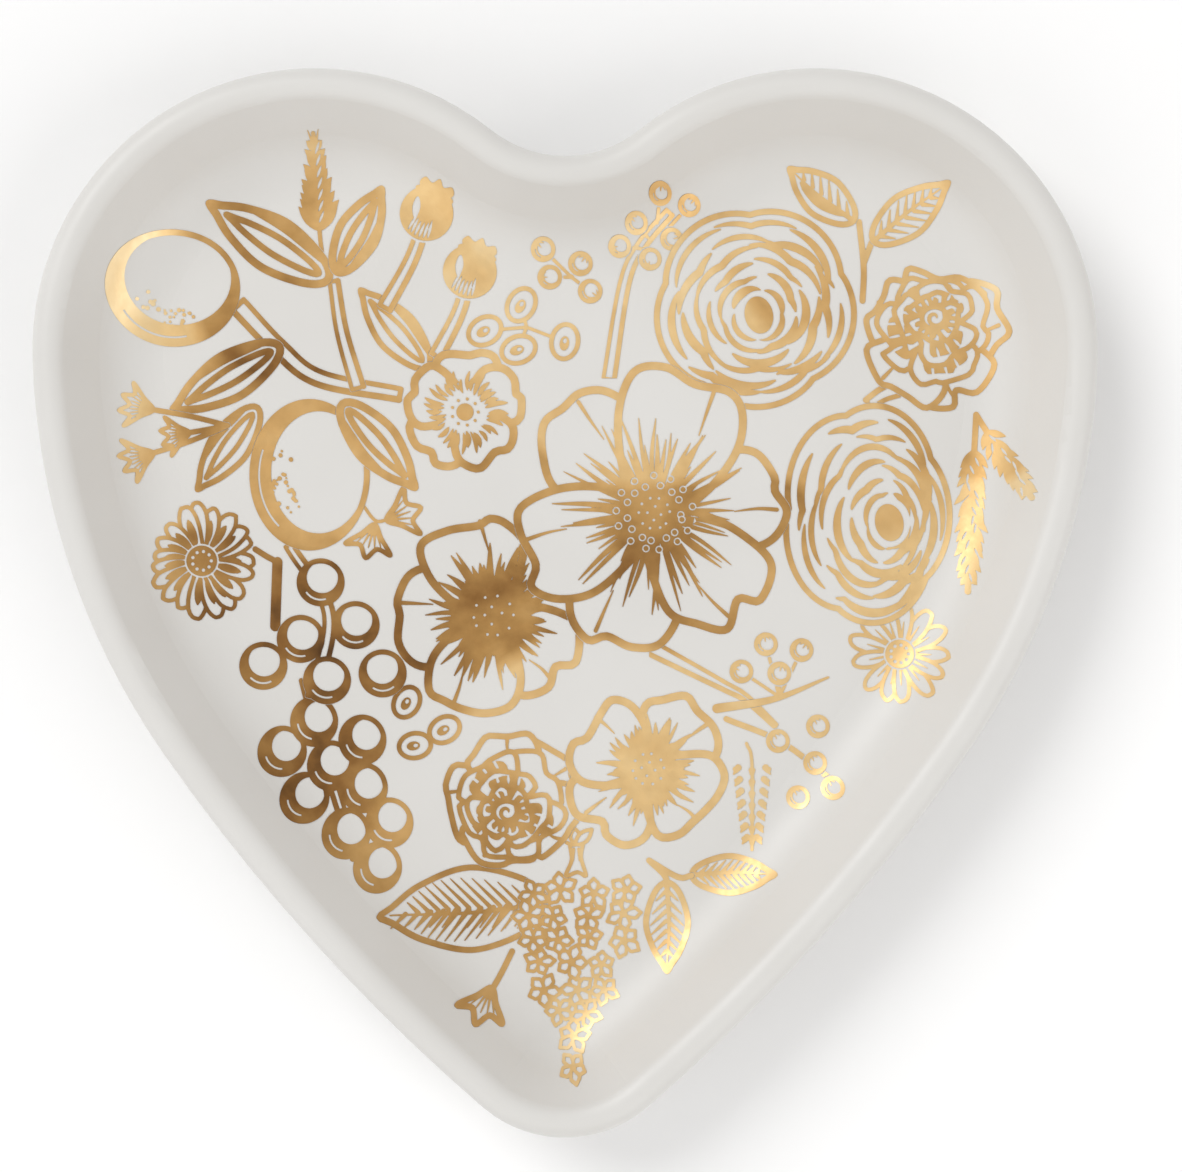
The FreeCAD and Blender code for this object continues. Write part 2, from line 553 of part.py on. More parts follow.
# Every motif of the bouquet, nearest first. A nearer one hides what it overlaps.
BOUQUET = {
    "gold_anemone_large": lambda p: p.bloom((9.4, 9.8), (15.7, 16.8), 8, 0.22, 12),
    "gold_anemone_left": lambda p: p.bloom((-7.6, -1.2), (11.2, 12.0), 7, 0.22, 20),
    "gold_anemone_low": lambda p: p.bloom((8.9, -18.2), (8.8, 9.8), 6, 0.24, 90),
    "gold_rose_low": lambda p: p.rosette((-5.6, -21.4), (9.0, 7.6), 6, 30),
    "gold_rose_right": lambda p: p.rosette((40.4, 29.2), (8.0, 8.0), 6, 15),
    "gold_ranunculus_upper": lambda p: p.rosette((20.6, 32.6), (11.2, 11.2), 8, 5),
    "gold_ranunculus_right": lambda p: p.rosette((31.8, 10.0), (9.7, 12.3), 8, 0),
    "gold_pansy": lambda p: p.bloom((-11.0, 20.8), (7.2, 7.2), 5, 0.25, 90),
    "gold_daisy_right": lambda p: p.bloom((36.4, -5.6), (5.9, 5.9), 9, 0.3, 0),
    "gold_daisy_left": lambda p: p.bloom((-39.8, 4.4), (5.8, 6.8), 9, 0.3, 10),
    "gold_orange_upper": lambda p: p.fruit((-42.8, 34.4), (7.3, 6.5)),
    "gold_orange_lower": lambda p: p.fruit((-28.0, 14.0), (6.7, 8.4)),
    "gold_grapes_upper": lambda p: p.florets(
        2.6, (-26.7, 2.2), (-23.2, -2.0), (-29.0, -3.5), (-32.9, -6.3), (-20.7, -7.2), (-25.6, -7.7)),
    "gold_grapes_lower": lambda p: p.florets(
        2.6, (-23.0, -12.9), (-28.6, -11.0), (-32.3, -13.4), (-26.6, -16.5), (-21.5, -18.9),
        (-29.0, -19.6), (-24.7, -24.1), (-19.0, -23.8), (-20.4, -28.7)),
    "gold_bells_left": lambda p: p.florets(1.6, (-17.4, -11.0), (-13.4, -13.9), (-16.7, -15.6)),
    "gold_bells_upper": lambda p: p.florets(1.9, (-8.6, 30.6), (-4.6, 32.2), (-4.8, 28.1), (-0.5, 28.4)),
    "gold_wheat": lambda p: (
        p.leaf((-26.8, 41.0), (-27.5, 51.0), 4.5), p.stem((-26.8, 41.0), (-25.4, 35.6))),
    "gold_leaf_lobe_outer": lambda p: p.leaf((-25.8, 35.4), (-38.9, 43.6), 6.2),
    "gold_leaf_lobe_inner": lambda p: p.leaf((-24.9, 36.2), (-20.1, 45.2), 4.4),
    "gold_poppy_pods": lambda p: (
        p.fruit((-15.0, 43.0), (3.2, 3.2)), p.stem((-16.1, 40.0), (-19.4, 32.4)),
        p.fruit((-10.4, 36.3), (3.2, 3.2)), p.stem((-11.3, 33.2), (-14.3, 27.4))),
    "gold_leaf_middle": lambda p: p.leaf((-14.9, 25.8), (-22.6, 34.2), 4.6),
    "gold_berry_knot": lambda p: p.berries(1.5, (-2.2, 38.5), (-1.4, 35.6), (1.9, 36.7), (2.7, 34.2)),
    "gold_berry_sprig": lambda p: (
        p.stem((5.0, 28.0), (6.5, 37.4), (11.4, 42.2)),
        p.berries(1.35, (6.1, 39.4), (8.1, 41.7), (10.7, 44.4), (13.6, 43.3), (11.4, 39.9), (8.9, 38.0))),
    "gold_leaf_branch_upper": lambda p: p.leaf((-31.2, 28.0), (-43.0, 21.0), 5.4),
    "gold_leaf_branch_lower": lambda p: p.leaf((-33.4, 21.6), (-40.4, 12.4), 4.4),
    "gold_bell_florets": lambda p: (
        p.leaf((-43.6, 19.6), (-49.0, 23.0), 3.2), p.leaf((-43.6, 17.8), (-48.4, 15.0), 3.0),
        p.stem((-43.6, 19.4), (-38.8, 18.6))),
    "gold_leaf_centre": lambda p: p.leaf((-24.6, 22.0), (-16.3, 12.4), 5.0),
    "gold_branch_left": lambda p: p.stem((-36.5, 33.1), (-32.5, 28.6), (-27.4, 24.2), (-17.9, 22.6)),
    "gold_stem_left": lambda p: p.stem((-25.3, 35.2), (-24.6, 29.0), (-23.1, 24.2)),
    "gold_leaf_notch_left": lambda p: p.leaf((31.7, 42.0), (24.3, 47.2), 4.8),
    "gold_leaf_notch_right": lambda p: p.leaf((33.5, 39.8), (41.8, 45.4), 5.2),
    "gold_leaf_stems_right": lambda p: (
        p.stem((31.6, 41.6), (32.0, 37.6), (31.9, 33.8)), p.stem((33.4, 39.4), (32.0, 37.2))),
    "gold_plumes": lambda p: (
        p.leaf((46.2, 18.9), (50.6, 11.0), 3.0), p.leaf((44.4, 14.0), (43.4, 1.2), 3.4),
        p.stem((46.2, 18.9), (44.4, 20.2), (44.4, 14.0))),
    "gold_berry_twig": lambda p: (
        p.stem((18.4, -10.2), (23.6, -11.2), (27.4, -9.6)),
        p.berries(1.35, (22.8, -4.4), (26.4, -4.9), (20.4, -7.2), (24.2, -7.6)),
        p.stem((22.9, -4.6), (23.6, -11.2)), p.stem((26.4, -4.9), (24.2, -7.8))),
    "gold_berry_twig_low": lambda p: (
        p.stem((18.6, -13.2), (23.4, -14.7), (29.0, -18.8)),
        p.berries(1.35, (23.4, -14.7), (27.0, -13.0), (27.2, -16.6), (29.4, -19.2), (26.2, -21.0))),
    "gold_catkin": lambda p: p.leaf((20.6, -17.6), (20.2, -27.0), 5.4),
    "gold_trumpets": lambda p: (
        p.leaf((-20.9, 2.0), (-21.6, 7.4), 3.6), p.leaf((-19.4, 8.6), (-14.4, 10.6), 3.4)),
    "gold_calyx": lambda p: (
        p.leaf((1.0, -30.0), (0.8, -24.6), 3.2), p.stem((-0.6, -25.0), (0.9, -27.0), (2.6, -24.8))),
    "gold_lilac": lambda p: p.florets(LILAC["floret"], *lilac_places()),
    "gold_leaf_veined": lambda p: p.leaf((-0.2, -32.2), (-20.2, -34.6), 9.6, 7),
    "gold_leaf_low_right": lambda p: p.leaf((13.8, -29.8), (22.8, -29.8), 4.2),
    "gold_leaf_low_middle": lambda p: p.leaf((11.2, -30.6), (11.0, -40.2), 4.9),
    "gold_bud": lambda p: (p.leaf((-7.6, -41.0), (-10.2, -46.8), 3.4), p.stem((-7.6, -41.0), (-5.6, -38.4))),
    "gold_grape_stem": lambda p: p.stem((-37.6, 6.2), (-31.9, 5.2), (-32.4, -2.2)),
    "gold_rose_stem": lambda p: p.stem((38.0, 23.6), (34.5, 22.6), (31.2, 20.6)),
    "gold_branch_right": lambda p: p.stem((12.6, -7.0), (18.8, -9.3), (22.6, -13.1)),
}


def make_film_blank(sheet):
    """The whole inside of the dish covered in film, to be trimmed to each motif."""
    film = sheet.film_thickness
    layers = round_the_heart(sheet, INSIDE_RUN, 0.0, film)
    layers.append(heart_plate(sheet, sheet.cove_line, sheet.floor_top, sheet.floor_top + film))
    return layers[0].multiFuse(layers[1:]).removeSplitter()


def make_bouquet(doc, sheet):
    blank = make_film_blank(sheet)
    height = sheet.foot_height + sheet.wall_thickness + 2 * sheet.cove_radius
    nearer = []
    features = []
    for label, draw in BOUQUET.items():
        motif = Print(sheet)
        draw(motif)
        art, cover = joined(motif.art), joined(motif.cover)
        hiding = [shape for shape in nearer if shape.BoundBox.intersect(cover.BoundBox)]
        if hiding:
            art = art.cut(joined(hiding))
        nearer.append(cover)
        trimmed = [face.extrude(UP * height).common(blank) for face in art.removeSplitter().Faces]
        smallest = sheet.smallest_mark * sheet.film_thickness
        marks = [solid for piece in trimmed for solid in piece.Solids if solid.Volume > smallest]
        film = Part.makeCompound(marks)
        features.append(solid_feature(doc, label, film))
    return features


def main():
    os.makedirs("parts", exist_ok=True)
    doc = FreeCAD.newDocument("trinket_dish")
    sheet = make_sheet(doc)
    body = make_porcelain_body(doc, sheet)
    parts = [body] + make_glaze(doc, sheet, body) + make_bouquet(doc, sheet)
    doc.recompute()
    for item in doc.Objects:
        if "Invalid" in item.State or "Error" in item.State:
            raise RuntimeError("%s does not build" % item.Label)
    for part in parts:
        if part.Shape.isNull() or not part.Shape.Solids or not part.Shape.isValid():
            raise RuntimeError("%s has no valid shape" % part.Label)
        part.Shape.exportStep("parts/%s.step" % part.Label)


main()
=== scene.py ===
import math
from random import Random

import bpy
import mathutils
import numpy as np
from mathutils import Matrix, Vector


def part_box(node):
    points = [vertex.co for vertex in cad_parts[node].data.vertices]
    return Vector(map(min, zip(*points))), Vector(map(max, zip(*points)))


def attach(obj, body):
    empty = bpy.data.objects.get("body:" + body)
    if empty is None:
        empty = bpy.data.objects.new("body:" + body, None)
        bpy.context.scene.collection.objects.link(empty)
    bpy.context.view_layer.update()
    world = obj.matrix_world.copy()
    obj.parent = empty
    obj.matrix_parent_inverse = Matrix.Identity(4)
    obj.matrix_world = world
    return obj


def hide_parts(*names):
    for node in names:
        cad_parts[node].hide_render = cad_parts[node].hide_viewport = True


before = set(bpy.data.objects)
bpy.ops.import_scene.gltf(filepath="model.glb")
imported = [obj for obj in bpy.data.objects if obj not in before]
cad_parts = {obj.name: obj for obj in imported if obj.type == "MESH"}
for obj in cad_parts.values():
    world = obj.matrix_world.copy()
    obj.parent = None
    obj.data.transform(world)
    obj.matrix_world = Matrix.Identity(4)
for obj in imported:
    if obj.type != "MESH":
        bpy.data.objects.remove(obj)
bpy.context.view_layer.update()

# Heart-shaped porcelain dish with a gold line-print bouquet. Drawing and outline work is in
# millimetres; meshes are written in metres, in the CAD frame.
MM = 0.001

# ---- the dish's own shape
# The rim is a chain of tangent arcs, and one wall section runs round it.

RIM = {"tip": 13.7, "flank": 208.0, "hip": 79.0, "lobe": 30.5, "notch": 12.8}
LOBE_CENTRE = (27.0, 27.2)
HIP_CENTRE_ALONG = 28.9
WALL = 3.9
WALL_LEAN = math.radians(50.0)
WALL_STRAIGHT = 5.3
COVE = 8.6

coat_low, coat_high = (np.array(corner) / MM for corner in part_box("glaze_coat"))
TIP_REACH = -coat_low[1]
INSIDE_FLOOR = coat_low[2] + WALL
COVE_RUN = COVE * math.sin(WALL_LEAN)
COVE_LINE = WALL / 2 + WALL_STRAIGHT * math.cos(WALL_LEAN) + COVE_RUN + WALL / 2 * math.sin(WALL_LEAN)
NOWHERE = 1e9
TINY = 1e-12


def heading(origin, target):
    """Direction from one point to another, in radians."""
    return math.atan2(target[1] - origin[1], target[0] - origin[0])


def rim_arcs():
    """Eight arcs, anticlockwise from the tip: (centre, radius, from, to, side).

    The side is 1 where the dish lies inside the arc's circle and -1 at the notch."""
    lobe = LOBE_CENTRE
    reach = RIM["hip"] - RIM["lobe"]
    hip = (lobe[0] - math.sqrt(reach**2 - (HIP_CENTRE_ALONG - lobe[1]) ** 2), HIP_CENTRE_ALONG)
    tip = (0.0, RIM["tip"] - TIP_REACH)
    near, far = RIM["flank"] - RIM["tip"], RIM["flank"] - RIM["hip"]
    gap = math.dist(tip, hip)
    along = (gap**2 + near**2 - far**2) / (2 * gap)
    aside = math.sqrt(near**2 - along**2)
    east, north = (hip[0] - tip[0]) / gap, (hip[1] - tip[1]) / gap
    flank = min(
        (tip[0] + east * along - north * way, tip[1] + north * along + east * way)
        for way in (aside, -aside)
    )
    notch = (0.0, lobe[1] + math.sqrt((RIM["lobe"] + RIM["notch"]) ** 2 - lobe[0] ** 2))
    turns = [heading(flank, tip), heading(flank, hip), heading(hip, lobe), heading(lobe, notch)]
    right = [
        (flank, RIM["flank"], turns[0], turns[1], 1),
        (hip, RIM["hip"], turns[1], turns[2], 1),
        (lobe, RIM["lobe"], turns[2], turns[3], 1),
    ]
    left = [
        ((-centre[0], centre[1]), radius, math.pi - end, math.pi - start, side)
        for centre, radius, start, end, side in reversed(right)
    ]
    first = (tip, RIM["tip"], -math.pi - turns[0], turns[0], 1)
    middle = (notch, RIM["notch"], math.pi + turns[3], 2 * math.pi - turns[3], -1)
    return [first] + right + [middle] + left


ARCS = rim_arcs()


def inset_of(x, y):
    """How far each point lies in from the rim line, in mm."""
    nearest = np.full(np.shape(x), NOWHERE)
    for centre, radius, start, end, side in ARCS:
        away = np.hypot(x - centre[0], y - centre[1])
        low, high = min(start, end), max(start, end)
        middle, half = (low + high) / 2, (high - low) / 2
        turn = np.arctan2(y - centre[1], x - centre[0])
        off = np.abs((turn - middle + math.pi) % (2 * math.pi) - math.pi)
        nearest = np.where(off <= half, np.minimum(nearest, side * (radius - away)), nearest)
    return nearest


def inside_height(x, y):
    """Height of the glazed inside of the dish, in mm."""
    out = COVE_LINE - inset_of(x, y)
    run = np.clip(out, 0.0, COVE_RUN)
    cove = INSIDE_FLOOR + COVE - np.sqrt(COVE**2 - run**2)
    return cove + np.maximum(out - COVE_RUN, 0.0) * math.tan(WALL_LEAN)


def inside_normal(x, y):
    """Unit normals of the inside surface."""
    step = 0.02
    slope_x = (inside_height(x + step, y) - inside_height(x - step, y)) / (2 * step)
    slope_y = (inside_height(x, y + step) - inside_height(x, y - step)) / (2 * step)
    normal = np.stack([-slope_x, -slope_y, np.ones_like(slope_x)], axis=-1)
    return normal / np.linalg.norm(normal, axis=-1, keepdims=True)


def new_mesh(name, points, faces, rounded=True):
    """A mesh object in the scene, from points in mm."""
    mesh = bpy.data.meshes.new(name)
    mesh.from_pydata([tuple(point) for point in np.asarray(points) * MM], [], faces)
    mesh.validate()
    mesh.polygons.foreach_set("use_smooth", [rounded] * len(mesh.polygons))
    piece = bpy.data.objects.new(name, mesh)
    bpy.context.scene.collection.objects.link(piece)
    return piece


# ---- ink: gold lines on a grid

CELL = 0.07
BARE = -1.0
GRID_MARGIN = 3.0
MOTIF_GAP = 0.06
FILM_TOP = 0.07
FILM_SUNK = 0.01
LEAST_VALUE = 1e-6
LEAST_LENGTH = 1e-9
SHORTEST_LOOP = 8
INNER_STRIDE = 8
INNER_DEPTH = 0.22
MERGE_BELOW = 1e-5


def smooth(points, closed=False, step=0.3):
    """A flowing curve through the points."""
    points = np.asarray(points, float)
    if closed:
        padded = np.vstack([points[-1], points, points[:2]])
    else:
        padded = np.vstack([2 * points[0] - points[1], points, 2 * points[-1] - points[-2]])
    out = []
    for a, b, c, d in zip(padded, padded[1:], padded[2:], padded[3:]):
        count = max(2, int(np.linalg.norm(c - b) / step))
        t = (np.arange(count) / count)[:, None]
        out.append(0.5 * (2 * b + (c - a) * t + (2 * a - 5 * b + 4 * c - d) * t**2
                          + (3 * b - a - 3 * c + d) * t**3))
    if not closed:
        out.append(points[-1:])
    return np.vstack(out)


def ellipse(centre, across, along, turn=0.0, start=0.0, end=360.0):
    """Points round an ellipse, or round part of it. Angles are in degrees."""
    count = max(10, int(abs(end - start) / 360 * 2 * math.pi * max(across, along) / 0.25))
    whole = abs(end - start) >= 360
    angle = np.radians(np.linspace(start, end, count, endpoint=not whole))
    x, y = across * np.cos(angle), along * np.sin(angle)
    c, s = math.cos(math.radians(turn)), math.sin(math.radians(turn))
    return np.stack([centre[0] + x * c - y * s, centre[1] + x * s + y * c], axis=1)


def even(t):
    """The same width all along."""
    return np.ones_like(t)


def swell(t):
    """Thin at both ends and full in the middle."""
    return 0.25 + 0.75 * np.sin(np.pi * t) ** 0.7


def fade(t):
    """Full at the start and fine at the end."""
    return 1.0 - 0.75 * t**1.3


def taper(t):
    """Full for most of the way, then a point."""
    return 1.0 - 0.85 * t**3


def depth_in(outline, x, y):
    """Signed distance into a closed outline, positive inside."""
    best = np.full(x.shape, NOWHERE)
    inside = np.zeros(x.shape, bool)
    for (ax, ay), (bx, by) in zip(outline, np.roll(outline, -1, axis=0)):
        dx, dy = bx - ax, by - ay
        t = np.clip(((x - ax) * dx + (y - ay) * dy) / max(dx * dx + dy * dy, TINY), 0, 1)
        best = np.minimum(best, np.hypot(x - ax - t * dx, y - ay - t * dy))
        if ay != by:
            crosses = (ay > y) != (by > y)
            inside ^= crosses & (x < ax + (y - ay) * dx / dy)
    return np.where(inside, best, -best)


class Ink:
    """The gold of one motif: a grid of distances, positive where there is gold.

    Inks are drawn from the back of the bouquet to the front, and a cover hides
    whatever was drawn before it."""

    drawn = []

    def __init__(self, node, seed, margin=GRID_MARGIN):
        low, high = (np.array(corner)[:2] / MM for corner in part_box(node))
        self.node = node
        self.random = Random(seed)
        self.centre, self.half = (low + high) / 2, (high - low) / 2
        self.first = np.floor((low - margin) / CELL).astype(int)
        columns, rows = np.ceil((high + margin) / CELL).astype(int) - self.first
        self.field = np.full((rows, columns), BARE)
        Ink.drawn.append(self)

    def at(self, u, v):
        """A place in the motif's box: -1 to 1 each way."""
        return self.centre + self.half * (u, v)

    def path(self, *places):
        """Several places in the motif's box."""
        return [self.at(u, v) for u, v in places]

    def window(self, low, high):
        """Rows, columns and coordinates of the grid between two corners."""
        a = np.maximum(np.floor(np.asarray(low) / CELL).astype(int) - self.first, 0)
        shape = np.array(self.field.shape[::-1])
        b = np.minimum(np.ceil(np.asarray(high) / CELL).astype(int) - self.first + 1, shape)
        if (b <= a).any():
            return None
        xs = (np.arange(a[0], b[0]) + self.first[0]) * CELL
        ys = (np.arange(a[1], b[1]) + self.first[1]) * CELL
        x, y = np.meshgrid(xs, ys)
        return slice(a[1], b[1]), slice(a[0], b[0]), x, y

    def stroke(self, points, width, shape=even):
        """A line of gold whose width changes along it."""
        points = np.asarray(points, float)
        radii = width / 2 * shape(np.linspace(0, 1, len(points)))
        for a, b, ra, rb in zip(points, points[1:], radii, radii[1:]):
            reach = max(ra, rb) + 2 * CELL
            spot = self.window(np.minimum(a, b) - reach, np.maximum(a, b) + reach)
            if spot is None:
                continue
            rows, columns, x, y = spot
            d = b - a
            t = np.clip(((x - a[0]) * d[0] + (y - a[1]) * d[1]) / max(d @ d, TINY), 0, 1)
            value = ra + (rb - ra) * t - np.hypot(x - a[0] - t * d[0], y - a[1] - t * d[1])
            self.field[rows, columns] = np.maximum(self.field[rows, columns], value)

    def line(self, points, width, shape=even):
        """A flowing line through a few points."""
        self.stroke(smooth(points), width, shape)

    def loop(self, outline, width):
        """A line all round an outline."""
        self.stroke(np.vstack([outline, outline[:1]]), width)

    def fill(self, outline):
        """Solid gold inside an outline."""
        spot = self.window(outline.min(0) - 2 * CELL, outline.max(0) + 2 * CELL)
        if spot is None:
            return
        rows, columns, x, y = spot
        value = depth_in(outline, x, y)
        self.field[rows, columns] = np.maximum(self.field[rows, columns], value)

    def dot(self, centre, radius):
        self.stroke([centre, centre], 2 * radius)

    def scrape(self, outline, margin=0.0):
        """Takes gold away inside an outline, on this motif only."""
        reach = margin + 2 * CELL
        spot = self.window(outline.min(0) - reach, outline.max(0) + reach)
        if spot is None:
            return
        rows, columns, x, y = spot
        value = -(depth_in(outline, x, y) + margin)
        self.field[rows, columns] = np.minimum(self.field[rows, columns], value)

    def cover(self, outline, margin=0.0):
        """Hides what was drawn earlier, on every motif."""
        for ink in Ink.drawn:
            ink.scrape(outline, margin)


def part_overlaps():
    """Cuts each motif back where a nearer one lies on it, so no two films share a place."""
    for k, nearer in enumerate(Ink.drawn):
        for farther in Ink.drawn[:k]:
            a = np.maximum(nearer.first, farther.first)
            b = np.minimum(nearer.first + nearer.field.shape[::-1],
                           farther.first + farther.field.shape[::-1])
            if (b <= a).any():
                continue
            below, above = [
                (slice(a[1] - y, b[1] - y), slice(a[0] - x, b[0] - x))
                for x, y in (farther.first, nearer.first)]
            hidden = -nearer.field[above] - MOTIF_GAP
            farther.field[below] = np.minimum(farther.field[below], hidden)


def contour_loops(field):
    """Closed loops round the positive cells, as grid coordinates (column, row)."""
    field = np.pad(field, 1, constant_values=BARE)
    field = np.where(np.abs(field) < LEAST_VALUE, LEAST_VALUE, field)
    rows, columns = field.shape
    ink = field > 0
    corner = [ink[:-1, :-1], ink[:-1, 1:], ink[1:, 1:], ink[1:, :-1]]
    case = sum(c.astype(int) << k for k, c in enumerate(corner))
    middle = (field[:-1, :-1] + field[:-1, 1:] + field[1:, 1:] + field[1:, :-1]) > 0
    i, j = np.meshgrid(np.arange(rows - 1), np.arange(columns - 1), indexing="ij")
    south = 2 * (i * columns + j)
    north = 2 * ((i + 1) * columns + j)
    west = south + 1
    east = 2 * (i * columns + j + 1) + 1
    side = {"s": south, "e": east, "n": north, "w": west}
    walks = {1: ["sw"], 2: ["es"], 3: ["ew"], 4: ["ne"], 6: ["ns"], 7: ["nw"], 8: ["wn"],
             9: ["sn"], 11: ["en"], 12: ["we"], 13: ["se"], 14: ["ws"]}
    follow = {}

    def add(mask, pairs):
        for pair in pairs:
            for a, b in zip(side[pair[0]][mask].tolist(), side[pair[1]][mask].tolist()):
                follow[a] = b

    for number, pairs in walks.items():
        add(case == number, pairs)
    add((case == 5) & middle, ["se", "nw"])
    add((case == 5) & ~middle, ["sw", "ne"])
    add((case == 10) & middle, ["ws", "en"])
    add((case == 10) & ~middle, ["es", "wn"])

    def place(key):
        cell, upright = divmod(key, 2)
        r, c = divmod(cell, columns)
        a = field[r, c]
        b = field[r + 1, c] if upright else field[r, c + 1]
        t = a / (a - b)
        return (c - 1, r - 1 + t) if upright else (c - 1 + t, r - 1)

    loops = []
    while follow:
        start, key = next(iter(follow.items()))
        loop = [place(start)]
        del follow[start]
        while key != start:
            loop.append(place(key))
            key = follow.pop(key)
        loops.append(np.array(loop))
    return loops


def thin_out(loop, tolerance=0.008, longest=0.6):
    """Leaves out points that lie on a straight run."""
    keep = np.zeros(len(loop), bool)
    far = int(np.argmax(np.hypot(*(loop - loop[0]).T)))
    keep[[0, far]] = True
    closed = np.vstack([loop, loop[:1]])
    spans = [(0, far), (far, len(loop))]
    while spans:
        a, b = spans.pop()
        if b - a < 2:
            continue
        p, q = closed[a], closed[b]
        run = q - p
        length = math.hypot(*run)
        between = closed[a + 1:b] - p
        if length > LEAST_LENGTH:
            off = np.abs(between @ (-run[1], run[0])) / length
        else:
            off = np.hypot(*between.T)
        worst = int(np.argmax(off))
        if off[worst] > tolerance or length > longest:
            middle = a + 1 + (worst if off[worst] > tolerance else (b - a) // 2 - 1)
            keep[middle % len(loop)] = True
            spans += [(a, middle), (middle, b)]
    return loop[keep]


def field_at(field, place):
    """Values of a grid between its points."""
    padded = np.pad(field, ((0, 1), (0, 1)), constant_values=BARE)
    column, row = np.floor(place).astype(int).T
    part_x, part_y = (place - np.floor(place)).T
    row, column = np.clip(row, 0, padded.shape[0] - 2), np.clip(column, 0, padded.shape[1] - 2)
    low = padded[row, column] * (1 - part_x) + padded[row, column + 1] * part_x
    high = padded[row + 1, column] * (1 - part_x) + padded[row + 1, column + 1] * part_x
    return low * (1 - part_y) + high * part_y


def flat_triangles(ink):
    """The motif's gold as points in the plane and triangles, all anticlockwise."""
    loops = [(loop + ink.first) * CELL for loop in contour_loops(ink.field)]
    points, edges = [], []
    for loop in (thin_out(loop) for loop in loops if len(loop) >= SHORTEST_LOOP):
        if len(loop) < 3:
            continue
        first = len(points)
        points += [tuple(p) for p in loop]
        edges += [(first + k, first + (k + 1) % len(loop)) for k in range(len(loop))]
    rows, columns = np.nonzero(ink.field[::INNER_STRIDE, ::INNER_STRIDE] > INNER_DEPTH)
    inner = (np.stack([columns, rows], axis=1) * INNER_STRIDE + ink.first) * CELL
    points += [tuple(p) for p in inner]
    flat, _, triangles, _, _, _ = mathutils.geometry.delaunay_2d_cdt(
        [mathutils.Vector(p) for p in points], edges, [], 0, MERGE_BELOW)
    flat, triangles = np.array([tuple(p) for p in flat]), np.array(triangles)
    middle = flat[triangles].mean(axis=1) / CELL - ink.first
    kept = triangles[field_at(ink.field, middle) > 0]
    a, b, c = flat[kept[:, 0]], flat[kept[:, 1]], flat[kept[:, 2]]
    area = (b[:, 0] - a[:, 0]) * (c[:, 1] - a[:, 1]) - (b[:, 1] - a[:, 1]) * (c[:, 0] - a[:, 0])
    kept = np.where((area > 0)[:, None], kept, kept[:, ::-1])
    used, kept = np.unique(kept, return_inverse=True)
    return flat[used], kept.reshape(-1, 3)


def film(ink, name):
    """The motif's gold as a closed film that follows the dish."""
    flat, kept = flat_triangles(ink)
    count = len(flat)
    x, y = flat.T
    normal = inside_normal(x, y)
    base = np.stack([x, y, inside_height(x, y)], axis=1)
    vertices = np.vstack([base + normal * FILM_TOP, base - normal * FILM_SUNK])
    faces = kept.tolist() + (kept[:, ::-1] + count).tolist()
    sides = dict.fromkeys((face[k], face[(k + 1) % 3]) for face in kept.tolist() for k in range(3))
    faces += [(q, p, p + count, q + count) for p, q in sides if (q, p) not in sides]
    piece = new_mesh(name, vertices, faces)
    piece.data.normals_split_custom_set_from_vertices(np.vstack([normal, -normal]).tolist())
    return piece


# ---- motifs

# Line widths, in mm.
BOLD = 0.86
PLAIN = 0.64
FINE = 0.36


def turned(centre, angle, along, across=0.0):
    """A point at a distance along and across a direction given in degrees."""
    c, s = math.cos(math.radians(angle)), math.sin(math.radians(angle))
    return np.array([centre[0] + along * c - across * s, centre[1] + along * s + across * c])


def toward(start, end):
    """Direction from one point to another, in degrees."""
    return math.degrees(math.atan2(end[1] - start[1], end[0] - start[0]))


def petal(centre, angle, length, width, random, ruffle=0.05, neck=0.12, notch=0.0):
    """Outline of one broad petal growing outwards from the centre."""
    sides = [(0.0, neck), (0.28, 0.36), (0.6, 0.52), (0.85, 0.46), (0.98, 0.22)]
    right = [(a * length, -b * width) for a, b in sides]
    left = [(a * length, b * width) for a, b in reversed(sides)]
    tip = [(length * (1 - notch), width * random.uniform(-0.08, 0.08))]
    shake = ruffle * width
    points = []
    for a, b in right + tip + left:
        grown = a / length
        points.append(turned(centre, angle, a + random.uniform(-shake, shake) * grown,
                             b + random.uniform(-shake, shake) * grown))
    return smooth(points, closed=True, step=0.45)


def reach_at(half, angle):
    """Radius of the motif's box ellipse in one direction."""
    c, s = math.cos(math.radians(angle)), math.sin(math.radians(angle))
    return 1 / math.hypot(c / half[0], s / half[1])


def whorl(ink, count, turn, width=1.3, line=BOLD, ruffle=0.06, notch=0.06, folded=True):
    """A ring of overlapping petals, each with a long fold line."""
    centre = ink.at(0, 0)
    order = list(range(0, count, 2)) + list(range(1, count, 2))
    for k in order:
        angle = turn + 360 * k / count + ink.random.uniform(-6, 6)
        long = 0.97 * reach_at(ink.half, angle) * ink.random.uniform(0.94, 1.0)
        broad = width * 2 * long * math.sin(math.pi / count) * ink.random.uniform(0.56, 0.66)
        outline = petal(centre, angle, long, broad, ink.random, ruffle, 0.12, notch)
        ink.cover(outline, line * 0.35)
        ink.loop(outline, line)
        if folded:
            a = turned(centre, angle, long * 0.94, broad * -0.16)
            b = turned(centre, angle + ink.random.uniform(-3, 3), long * 0.62, broad * -0.128)
            ink.line([a, (a + b) / 2 + ink.random.uniform(-0.25, 0.25), b], PLAIN * 0.7, fade)


